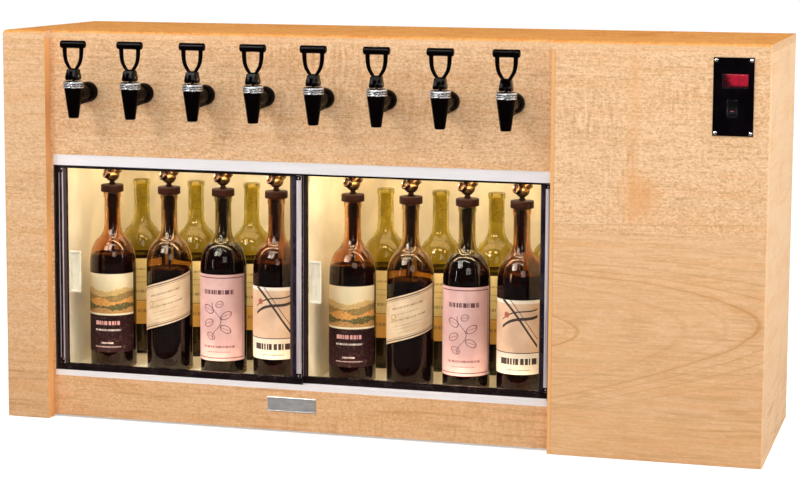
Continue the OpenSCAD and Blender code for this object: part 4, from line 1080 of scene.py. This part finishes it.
punt = [(0, 14), (8, 11.5), (15, 7.4), (22, 3), (26, 0.4), (30, 0.0), (33.5, 0.0)]


def bottle_mesh(name, mat, tall=0.0):
    b = Build()
    b.lathe([(r, h + (tall if h > 250 else 0.0)) for r, h in punt + out_prof + list(reversed(in_prof))], 80)
    me = b.mesh(name, 55)
    me.materials.append(mat)
    return me


def wine_mesh(name, level, mat):
    """Body of wine up to its level, with a small meniscus."""
    pr = [(0, 18)]
    for r, h in in_prof[1:]:
        if h < level:
            pr.append((r + 0.12, h))
        else:
            break
    r0 = None
    full = in_prof
    for (ra, ha), (rb, hb) in zip(full, full[1:]):
        if ha <= level <= hb:
            r0 = ra + (rb - ra) * (level - ha) / max(1e-6, hb - ha)
            break
    pr += [(r0 + 0.12, level), (r0 - 0.4, level - 0.5), (r0 - 1.6, level - 1.0), (0, level - 1.1)]
    b = Build()
    b.lathe(pr, 72)
    me = b.mesh(name, 60)
    me.materials.append(mat)
    return me


glass_tints = {"amber": ((0.76, 0.45, 0.20), (0.66, 0.34, 0.11)), "umber": ((0.70, 0.50, 0.24), (0.58, 0.37, 0.13)),
               "moss": ((0.60, 0.52, 0.24), (0.46, 0.38, 0.12)), "sienna": ((0.68, 0.38, 0.18), (0.55, 0.27, 0.09)),
               "olive": ((0.74, 0.66, 0.24), (0.62, 0.53, 0.12))}
glass_m = {k: glass("bottle_" + k, hi, 1.46, 0.0, lo) for k, (hi, lo) in glass_tints.items()}


def wine_material(name, base, edge):
    g = G(name)
    n = g.noise(g.mapping(g.coord(), scale=(18, 18, 8)), 1, 3, 0.5, 0.3)
    g.set(color=g.mix(g.soft(n, 0.35, 0.7), base, edge), rough=g.span(n, 0.3, 0.7, 0.03, 0.07), spec=0.15)
    return g.m


wine_dark = wine_material("wine_red", (0.0035, 0.0006, 0.0014), (0.0095, 0.0012, 0.0028))
wine_deep = wine_material("wine_deep", (0.020, 0.010, 0.004), (0.045, 0.022, 0.006))

SERVED_GLASS = ["amber", "umber", "moss", "sienna"]
b_mesh = {k: bottle_mesh("bottle_shell_" + k, m, 6.0 if k == "olive" else 0.0) for k, m in glass_m.items()}
w_mesh = [wine_mesh(f"wine_level_{k}", FILL_H[k], wine_dark) for k in range(4)]
w_res = wine_mesh("wine_level_reserve", 168, wine_deep)
for i, x in enumerate(SERVE_X):
    o = place(f"served_bottle_{i + 1}", b_mesh[SERVED_GLASS[i % 4]], (), (x, 115, FLOOR_Z), "root")
    w = place(f"served_wine_{i + 1}", w_mesh[i % 4], (), (x, 115, FLOOR_Z), "root")
    if i == 0:
        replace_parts(o, "bottles")
        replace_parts(w, "wine_fill")
for i, x in enumerate(RESERVE_X):
    place(f"reserve_bottle_{i + 1}", b_mesh["olive"], (), (x, 250, FLOOR_Z), "root")
    place(f"reserve_wine_{i + 1}", w_res, (), (x, 250, FLOOR_Z), "root")


# ---------------------------------------------------------------- labels
class Label(G):
    """Paper label drawn from UV: u left to right, v bottom to top."""

    def __init__(self, name):
        super().__init__(name)
        uv = self.coord("UV")
        self.u, self.v, _ = self.sep(uv)
        self.uvv = uv
        self.paper = self.noise(self.mapping(uv, scale=(90, 90, 1)), 1, 4, 0.65)
        self.fib = self.noise(self.mapping(uv, scale=(16, 22, 1)), 1, 4, 0.6, 0.4)

    def rect(self, cu, cv, w, h, v=None):
        return self.mul(self.near(self.u, cu, w / 2), self.near(v if v is not None else self.v, cv, h / 2))

    def dashes(self, cu, cv, w, h, freq, seed, v=None, cut=0.46):
        n = self.noise(self.mapping(self.uvv, scale=(freq, 0.0, 0.0), loc=(seed, 0, 0)), 1, 1, 0.4)
        return self.mul(self.rect(cu, cv, w, h, v), self.math("GREATER_THAN", n, cut))

    def finish(self, col, rough=0.62):
        col = self.mix(self.mul(self.soft(self.fib, 0.5, 0.75), 0.10), col, (0.55, 0.42, 0.26))
        self.set(color=col, rough=self.span(self.paper, 0.3, 0.7, rough - 0.06, rough + 0.08), spec=0.10)
        self.bump(self.add(self.paper, self.mul(self.fib, 0.5)), 0.06, 0.0003)
        return self.m


def label_hills():
    """Sky over rolling fields, a cream rule, then a dark panel with short bars."""
    g = Label("label_hills")
    u, v = g.u, g.v
    wave = lambda amp, f, ph: g.mul(g.math("SINE", g.add(g.mul(u, f), ph)), amp)
    rough = g.mul(g.sub(g.noise(g.mapping(g.uvv, scale=(14, 14, 1)), 1, 3, 0.6), 0.5), 0.08)
    col = g.mix(g.soft(v, 0.72, 1.0), (0.76, 0.60, 0.34), (0.84, 0.70, 0.46))
    for base, amp, f, ph, c in ((0.80, 0.020, 9, 0.4, (0.62, 0.40, 0.15)), (0.74, 0.030, 6, 2.2, (0.30, 0.19, 0.06)), (0.67, 0.026, 11, 4.0, (0.74, 0.34, 0.08)),
                                (0.61, 0.022, 8, 1.1, (0.12, 0.10, 0.03)), (0.55, 0.018, 12, 3.0, (0.52, 0.26, 0.08))):
        edge = g.add(g.add(base, wave(amp, f, ph)), rough)
        col = g.mix(g.math("LESS_THAN", v, edge), col, c)
    furrow = g.noise(g.mapping(g.uvv, scale=(30, 60, 1), rot=(0, 0, 0.5)), 1, 3, 0.6)
    col = g.mix(g.mul(g.mul(g.soft(furrow, 0.52, 0.66), g.soft(v, 0.80, 0.74)), 0.55), col, (0.10, 0.06, 0.025))
    col = g.mix(g.mul(g.mul(g.soft(furrow, 0.46, 0.34), g.soft(v, 0.80, 0.74)), 0.35), col, (0.80, 0.52, 0.20))
    col = g.mix(g.near(v, 0.485, 0.012), col, (0.84, 0.74, 0.52))
    col = g.mix(g.math("LESS_THAN", v, 0.473), col, (0.022, 0.004, 0.005))
    col = g.mix(g.dashes(0.50, 0.375, 0.42, 0.050, 34, 2.0), col, (0.72, 0.36, 0.32))
    col = g.mix(g.dashes(0.50, 0.285, 0.44, 0.022, 60, 9.0), col, (0.72, 0.60, 0.52))
    col = g.mix(g.dashes(0.50, 0.120, 0.20, 0.020, 70, 4.0), col, (0.60, 0.48, 0.42))
    col = g.mix(g.dashes(0.50, 0.070, 0.46, 0.012, 90, 5.0), col, (0.45, 0.32, 0.30))
    return g.finish(col)


def label_slant():
    """Cream label with double rules along its slanted edges and faint lines."""
    g = Label("label_slant")
    u, v = g.u, g.v
    col = g.mix(g.soft(g.noise(g.mapping(g.uvv, scale=(3, 3, 1)), 1, 3), 0.35, 0.65), (0.66, 0.47, 0.29), (0.76, 0.57, 0.38))
    ink = (0.10, 0.055, 0.035)
    for c, h in ((0.955, 0.012), (0.915, 0.005), (0.045, 0.012), (0.085, 0.005)):
        col = g.mix(g.near(v, c, h), col, ink)
    for c, h, w, f, s in ((0.74, 0.045, 0.56, 42, 1.0), (0.60, 0.018, 0.40, 70, 2.0), (0.47, 0.040, 0.62, 48, 7.0), (0.34, 0.014, 0.50, 90, 4.0),
                          (0.27, 0.012, 0.44, 90, 5.5), (0.18, 0.014, 0.30, 80, 6.0)):
        col = g.mix(g.mul(g.dashes(0.5, c, w, h, f, s), 0.75), col, (0.30, 0.19, 0.11))
    rose = g.math("ABSOLUTE", g.sub(g.math("SQRT", g.add(g.math("POWER", g.mul(g.sub(u, 0.26), 1.25), 2), g.math("POWER", g.sub(v, 0.56), 2))), 0.055))
    col = g.mix(g.math("LESS_THAN", rose, 0.009), col, (0.34, 0.20, 0.10))
    return g.finish(col)


def label_rose():
    """Pink label with a thin inset border and a small centred rosette."""
    g = Label("label_rose")
    u, v = g.u, g.v
    col = g.mix(g.soft(g.noise(g.mapping(g.uvv, scale=(3, 4, 1)), 1, 3), 0.35, 0.65), (0.66, 0.39, 0.36), (0.72, 0.45, 0.42))
    ink = (0.13, 0.05, 0.055)
    du, dv = g.math("ABSOLUTE", g.sub(u, 0.5)), g.math("ABSOLUTE", g.sub(v, 0.5))
    box = g.math("MAXIMUM", g.sub(du, 0.455), g.sub(dv, 0.465))
    col = g.mix(g.near(box, 0.0, 0.0055), col, ink)
    # a small vine: a winding stem with leaves on both sides
    stem = g.sub(u, g.add(0.47, g.mul(g.math("SINE", g.mul(v, 17.0)), 0.075)))
    tall = g.near(v, 0.46, 0.215)
    col = g.mix(g.mul(g.near(stem, 0.0, 0.0075), tall), col, (0.24, 0.10, 0.11))
    for lu, lv2, ru, rv, lean in ((0.33, 0.60, 0.085, 0.045, 0.5), (0.63, 0.53, 0.085, 0.042, -0.5), (0.33, 0.44, 0.080, 0.042, -0.4),
                                  (0.62, 0.37, 0.085, 0.042, 0.5), (0.37, 0.29, 0.070, 0.038, 0.4), (0.52, 0.66, 0.060, 0.035, -0.3)):
        a1 = g.sub(u, lu)
        b1 = g.add(g.sub(v, lv2), g.mul(a1, lean * 0.5))
        leaf = g.math("SQRT", g.add(g.math("POWER", g.math("DIVIDE", a1, ru), 2), g.math("POWER", g.math("DIVIDE", b1, rv), 2)))
        col = g.mix(g.near(leaf, 1.0, 0.11), col, (0.24, 0.10, 0.11))
        col = g.mix(g.mul(g.near(b1, 0.0, 0.0035), g.math("LESS_THAN", leaf, 0.8)), col, (0.30, 0.14, 0.14))
    col = g.mix(g.dashes(0.5, 0.80, 0.52, 0.052, 44, 3.0), col, ink)
    col = g.mix(g.dashes(0.5, 0.165, 0.56, 0.026, 70, 8.0), col, (0.28, 0.12, 0.13))
    col = g.mix(g.dashes(0.5, 0.105, 0.40, 0.014, 90, 1.5), col, (0.34, 0.17, 0.17))
    return g.finish(col)


def label_strokes():
    """White-edged tan field with bold dark strokes over a white foot band."""
    g = Label("label_strokes")
    u, v = g.u, g.v
    col = g.mix(g.soft(g.noise(g.mapping(g.uvv, scale=(3, 3, 1)), 1, 3), 0.35, 0.65), (0.64, 0.41, 0.27), (0.74, 0.50, 0.34))
    col = g.mix(g.math("GREATER_THAN", v, 0.955), col, (0.84, 0.74, 0.62))
    ink = (0.055, 0.032, 0.026)
    bend = g.mul(g.math("SINE", g.mul(u, 5.2)), 0.10)
    for slope, off, half in ((0.55, 0.42, 0.020), (0.55, 0.52, 0.009), (-0.75, 1.08, 0.024), (-0.75, 1.18, 0.008)):
        line = g.sub(g.sub(v, g.mul(u, slope)), g.add(bend, off))
        ln = g.mul(g.near(line, 0.0, half), g.mul(g.math("GREATER_THAN", v, 0.36), g.near(u, 0.52, 0.30)))
        col = g.mix(ln, col, ink)
    r = g.math("SQRT", g.add(g.math("POWER", g.mul(g.sub(u, 0.30), 1.0), 2), g.math("POWER", g.mul(g.sub(v, 0.80), 1.1), 2)))
    col = g.mix(g.math("LESS_THAN", r, 0.045), col, (0.42, 0.10, 0.06))
    col = g.mix(g.math("LESS_THAN", v, 0.29), col, (0.80, 0.68, 0.54))
    col = g.mix(g.near(v, 0.29, 0.006), col, ink)
    col = g.mix(g.dashes(0.50, 0.175, 0.66, 0.085, 26, 6.0), col, ink)
    col = g.mix(g.dashes(0.50, 0.060, 0.40, 0.018, 80, 2.0), col, (0.30, 0.22, 0.16))
    return g.finish(col)


def label_reserve():
    """Yellow label, its foot more orange, with thin rules."""
    g = Label("label_reserve")
    u, v = g.u, g.v
    col = g.mix(g.soft(v, 0.42, 0.30), (0.86, 0.68, 0.30), (0.84, 0.46, 0.10))
    col = g.mix(g.near(v, 0.36, 0.006), col, (0.42, 0.22, 0.06))
    for c, h, w, f, s in ((0.84, 0.030, 0.5, 40, 1.0), (0.72, 0.012, 0.6, 70, 2.0), (0.64, 0.012, 0.5, 70, 3.0), (0.50, 0.045, 0.6, 34, 4.0), (0.20, 0.05, 0.6, 30, 5.0)):
        col = g.mix(g.mul(g.dashes(0.5, c, w, h, f, s), 0.7), col, (0.34, 0.20, 0.07))
    return g.finish(col)


def label_mesh(name, z0, z1, a0, a1, mat, slant=0.0, wedge=0.0):
    """Curved paper with thickness. slant raises the right end."""
    b = Build()
    n, m = 48, 8
    def pt(r, i, j):
        u, v = i / n, j / m
        a = math.radians(a0 + (a1 - a0) * u)
        lo = z0 + slant * u
        hi = z1 - slant * (1 - u)
        return (r * math.cos(a), r * math.sin(a), lo + (hi - lo) * v)
    outer, inner = [], []
    pts = []
    for r, store in ((38.14, outer), (37.86, inner)):
        for i in range(n + 1):
            for j in range(m + 1):
                store.append(len(pts))
                pts.append(pt(r, i, j))
    at = lambda s, i, j: s[i * (m + 1) + j]
    faces, uvs = [], []
    for i in range(n):
        for j in range(m):
            faces.append((at(outer, i, j), at(outer, i + 1, j), at(outer, i + 1, j + 1), at(outer, i, j + 1)))
            uvs.append([(i / n, j / m), ((i + 1) / n, j / m), ((i + 1) / n, (j + 1) / m), (i / n, (j + 1) / m)])
            faces.append((at(inner, i, j), at(inner, i, j + 1), at(inner, i + 1, j + 1), at(inner, i + 1, j)))
            uvs.append([(0.02, 0.99)] * 4)
    for i in range(n):
        for j in (0, m):
            faces.append((at(outer, i, j), at(inner, i, j), at(inner, i + 1, j), at(outer, i + 1, j)))
            uvs.append([(0.02, 0.99)] * 4)
    for j in range(m):
        for i in (0, n):
            faces.append((at(outer, i, j), at(outer, i, j + 1), at(inner, i, j + 1), at(inner, i, j)))
            uvs.append([(0.02, 0.99)] * 4)
    # keep the UVs tied to the faces: normals are already consistent
    me = bpy.data.meshes.new(name)
    me.from_pydata([Vector(p) / 1000 for p in pts], [], faces)
    layer = me.uv_layers.new(name="UVMap")
    for poly, uv in zip(me.polygons, uvs):
        for li, c in zip(poly.loop_indices, uv):
            layer.data[li].uv = c
    bm = bmesh.new()
    bm.from_mesh(me)
    bmesh.ops.recalc_face_normals(bm, faces=bm.faces)
    bm.to_mesh(me)
    bm.free()
    me.shade_smooth()
    me.set_sharp_from_angle(angle=math.radians(40))
    me.materials.append(mat)
    return me


l_mesh = [label_mesh("label_a", 28, 158, -158, -8, label_hills()), label_mesh("label_b", 64, 166, -158, -8, label_slant(), 30),
          label_mesh("label_c", 25, 166, -158, -8, label_rose()), label_mesh("label_d", 33, 150, -158, -8, label_strokes())]
l_res = label_mesh("label_e", 52, 164, -165, -15, label_reserve())
for i, x in enumerate(SERVE_X):
    o = place(f"served_label_{i + 1}", l_mesh[i % 4], (), (x, 115, FLOOR_Z), "root")
    if i == 0:
        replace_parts(o, "bottle_labels")
for i, x in enumerate(RESERVE_X):
    place(f"reserve_label_{i + 1}", l_res, (), (x, 250, FLOOR_Z), "root")

# ---------------------------------------------------------------- stoppers and fittings
stop_m = plain("stopper_brown", (0.012, 0.0024, 0.0011), 0.5, var=0.25, grain=(120, 120, 120), bump=0.08, spec=0.10)
cork_m = plain("cork", (0.66, 0.55, 0.28), 0.8, var=0.3, grain=(240, 240, 240), bump=0.4, dist=0.0006)
sb = Build()
sb.lathe([(2.7, 12.0), (17.0, 12.0), (17.9, 11.7), (18.3, 11.1), (18.4, 10.0), (18.4, 2.0), (18.3, 0.9), (17.9, 0.3), (17.0, 0.05), (10.2, 0.05), (9.25, -0.8), (9.1, -25.4), (8.2, -26.0),
          (7.2, -27.0), (6.8, -29.0), (6.5, -68.0), (5.8, -69.8), (2.7, -69.8)], 64, closed=True)
stop_mesh = sb.mesh("stopper_disc", 34)
cb = Build()
cb.lathe([(0, 0.0), (8.9, 0.0), (9.2, 0.6), (9.2, 38.2), (8.8, 38.9), (0, 39.0)], 48)
cork_mesh = cb.mesh("reserve_cork", 40)

brass_dark = G("fitting_brass")
co = brass_dark.coord()
bx_, by_, bz_ = brass_dark.sep(co)
tarn = brass_dark.noise(brass_dark.mapping(co, scale=(120, 120, 120)), 1, 4, 0.6, 0.4)
brass_dark.set(color=brass_dark.mix(brass_dark.soft(tarn, 0.35, 0.7), (0.12, 0.058, 0.022), (0.30, 0.17, 0.065)), metal=1.0,
               rough=brass_dark.span(tarn, 0.3, 0.7, 0.26, 0.42))
brass_dark.bump(tarn, 0.05, 0.0003)
steel_dark = brushed("fitting_steel", (0.060, 0.034, 0.028), 0.26, "z", 0.2)
# near black: paints the shade inside the left port's socket
bore_dark = plain("fitting_bore", (0.018, 0.010, 0.010), 0.4, var=0.3, bump=0.05)
ring_bright = brushed("fitting_ring", (0.70, 0.48, 0.36), 0.2, "z", 0.08)
fb = Build()


def axis_rot(d):
    return Vector((0, 0, 1)).rotation_difference(Vector(d).normalized()).to_matrix()


# neck, ball body, top stub and dip tube
fb.lathe([(0, 0.1), (4.9, 0.1), (5.2, 0.8), (5.2, 2.6), (4.2, 3.4), (4.2, 5.4), (6.4, 6.4), (9.4, 9.0), (11.2, 12.0), (11.9, 15.4), (11.6, 18.6), (10.2, 21.9), (7.6, 24.6), (5.3, 26.0),
          (5.0, 27.5), (5.0, 33.9), (0, 33.9)], 48, mi=[1, 1, 1, 1, 1, 1, 1, 0, 0, 0, 0, 0, 0, 1, 1, 1])
fb.lathe([(0, 0.05), (2.35, 0.05), (2.35, -279.0), (1.4, -280.0), (0, -280.0)], 20, mi=1)
# right port: ribbed gold knob
rot_r = axis_rot((math.sin(math.radians(52)), 0, math.cos(math.radians(52))))
rib = [(0, 6.0), (6.9, 6.0)]
for k in range(5):
    h = 7.2 + k * 1.75
    rib += [(7.0, h), (7.0, h + 0.9), (6.2, h + 1.15), (6.2, h + 1.5)]
rib += [(6.6, 16.2), (5.6, 16.8), (3.2, 16.8), (3.0, 15.0), (0, 15.0)]
fb.lathe(rib, 40, (0, 0, 17), rot_r, 0)
# left port: open socket with a bright lip, turned to the front
rot_l = axis_rot((-0.60, -0.72, 0.32))
fb.lathe([(0, 5.0), (8.2, 6.0), (8.9, 7.0), (8.9, 12.4), (8.5, 13.4), (7.6, 13.8)], 44, (0, 0, 16), rot_l, 1)
fb.lathe([(7.6, 13.8), (6.6, 13.9), (5.9, 13.4), (5.7, 12.6)], 44, (0, 0, 16), rot_l, 3)
# the bore's near-black colour is painted shade inside the socket
fb.lathe([(5.7, 12.6), (5.5, 7.2), (0, 7.0)], 44, (0, 0, 16), rot_l, 2)
fit_mesh = fb.mesh("stopper_fitting", 34)
for m in (brass_dark.m, steel_dark, bore_dark, ring_bright):
    fit_mesh.materials.append(m)
for i, x in enumerate(SERVE_X):
    o = place(f"bottle_stopper_{i + 1}", stop_mesh, [stop_m], (x, 115, FLOOR_Z + 290), "root")
    f = place(f"stopper_fitting_{i + 1}", fit_mesh, (), (x, 115, FLOOR_Z + 302), "root")
    if i == 0:
        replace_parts(o, "stoppers")
        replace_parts(f, "stopper_fittings")
for i, x in enumerate(RESERVE_X):
    place(f"reserve_cork_{i + 1}", cork_mesh, [cork_m], (x, 250, FLOOR_Z + 250), "root")

# ---------------------------------------------------------------- back inlets
inlet_m = plain("inlet_black", (0.022, 0.022, 0.024), 0.42, var=0.25, bump=0.12, grain=(150, 150, 150))
dress("power_inlet", inlet_m)
dress("gas_inlet", brushed("inlet_brass", (0.78, 0.60, 0.30), 0.28, "y"))

# ---------------------------------------------------------------- floor and light
fm = G("pale_floor")
fn = fm.noise(fm.mapping(fm.coord(), scale=(3, 3, 3)), 1, 3)
rays = fm.node("ShaderNodeLightPath").outputs
seen = rays["Is Camera Ray"]
bounce = fm.mix(rays["Is Glossy Ray"], (0.50, 0.49, 0.48), (0.10, 0.10, 0.10))
fm.set(color=fm.mix(seen, bounce, fm.mix(fn, (0.91, 0.91, 0.91), (0.93, 0.93, 0.93))), rough=0.9, spec=0.1,
       emit=(1.0, 1.0, 1.0), emit_s=fm.mul(seen, 0.50))
fl_me = bpy.data.meshes.new("floor")
S = 5.0
fl_me.from_pydata([(-S, -2.6, 0), (S, -2.6, 0), (S, S, 0), (-S, S, 0)], [], [(0, 1, 2, 3)])
fl_me.materials.append(fm.m)
floor = bpy.data.objects.new("floor", fl_me)
bpy.context.scene.collection.objects.link(floor)
floor.location = (0, 0, -0.0006)

world = bpy.data.worlds.new("studio")
bpy.context.scene.world = world
world.use_nodes = True
wt = world.node_tree
wt.nodes.clear()
wo = wt.nodes.new("ShaderNodeOutputWorld")
lp = wt.nodes.new("ShaderNodeLightPath")
bg_cam, bg_soft, bg_gloss = (wt.nodes.new("ShaderNodeBackground") for _ in range(3))
bg_cam.inputs[0].default_value = (1, 1, 1, 1)
bg_cam.inputs[1].default_value = 1.05
bg_soft.inputs[0].default_value = (1.0, 0.985, 0.965, 1)
bg_soft.inputs[1].default_value = 0.62
# what gloss sees: dim room, lighter overhead
tc = wt.nodes.new("ShaderNodeTexCoord")
sx = wt.nodes.new("ShaderNodeSeparateXYZ")
wt.links.new(tc.outputs["Generated"], sx.inputs[0])
rm = wt.nodes.new("ShaderNodeValToRGB")
wt.links.new(sx.outputs[2], rm.inputs[0])
e = rm.color_ramp.elements
e[0].position, e[0].color = 0.0, (0.10, 0.095, 0.09, 1)
e[1].position, e[1].color = 1.0, (0.85, 0.85, 0.86, 1)
x1 = e.new(0.55); x1.color = (0.13, 0.128, 0.125, 1)
x2 = e.new(0.80); x2.color = (0.45, 0.45, 0.45, 1)
wt.links.new(rm.outputs[0], bg_gloss.inputs[0])
bg_gloss.inputs[1].default_value = 0.40
m1, m2 = wt.nodes.new("ShaderNodeMixShader"), wt.nodes.new("ShaderNodeMixShader")
wt.links.new(lp.outputs["Is Glossy Ray"], m1.inputs[0])
wt.links.new(bg_soft.outputs[0], m1.inputs[1])
wt.links.new(bg_gloss.outputs[0], m1.inputs[2])
wt.links.new(lp.outputs["Is Camera Ray"], m2.inputs[0])
wt.links.new(m1.outputs[0], m2.inputs[1])
wt.links.new(bg_cam.outputs[0], m2.inputs[2])
wt.links.new(m2.outputs[0], wo.inputs[0])


def area(name, loc, target, size, power, color=(1, 1, 1), camera=False):
    d = bpy.data.lights.new(name, "AREA")
    d.shape = "RECTANGLE"
    d.size, d.size_y = size
    d.energy = power
    d.color = color
    o = bpy.data.objects.new(name, d)
    bpy.context.scene.collection.objects.link(o)
    o.location = loc
    o.rotation_euler = (Vector(target) - Vector(loc)).to_track_quat("-Z", "Y").to_euler()
    o.visible_camera = camera
    return o


area("key", (-1.5, -2.6, 2.1), (-0.1, 0, 0.35), (0.8, 0.8), 24, (1.0, 0.97, 0.93))
area("fill", (1.5, -3.4, 1.5), (0.2, 0, 0.35), (1.5, 1.1), 15, (1.0, 0.98, 0.96))
area("side", (2.6, -0.3, 1.3), (0.5, 0, 0.35), (1.4, 1.4), 33, (1.0, 0.98, 0.95))
area("overhead", (-0.25, -1.15, 1.75), (-0.15, -0.2, 0.5), (2.4, 0.13), 8, (1.0, 0.99, 0.97))
# lights that only gloss shows: a thin overhead tube, a tall strip at the left and a window
for name, loc, target, size, power in (("tube", (-0.25, -1.18, 1.76), (-0.15, -0.2, 0.5), (2.4, 0.06), 56),
                                       ("strip", (-1.95, -2.55, 0.62), (-0.17, -0.22, 0.55), (0.12, 1.1), 13),
                                       ("window", (-0.50, -1.26, 1.26), (-0.30, -0.10, 0.27), (0.75, 0.7), 13)):
    o = area(name, loc, target, size, power, (1.0, 0.99, 0.99))
    o.visible_diffuse = False
for k, (xa, xb) in enumerate(((96, 480), (500, 880))):
    c = P((xa + xb) / 2, 64, 406)
    area(f"bay_lamp_{k + 1}", c, c + Vector((0, 0.75, -0.65)), ((xb - xa) / 1000 * 0.94, 0.016), 0.68, (1.0, 0.80, 0.54))
    c = P((xa + xb) / 2, 215, 424)
    area(f"bay_glow_{k + 1}", c, c + Vector((0, 0.05, -0.4)), ((xb - xa) / 1000 * 0.94, 0.17), 0.60, (1.0, 0.80, 0.52))
    c = P((xa + xb) / 2, 62, 96)
    low = area(f"bay_low_{k + 1}", c, c + Vector((0, 0.75, 0.42)), ((xb - xa) / 1000 * 0.96, 0.014), 0.085, (1.0, 0.78, 0.54))
    low.visible_glossy = False
    low.visible_transmission = False

bpy.context.scene.view_settings.view_transform = "Standard"
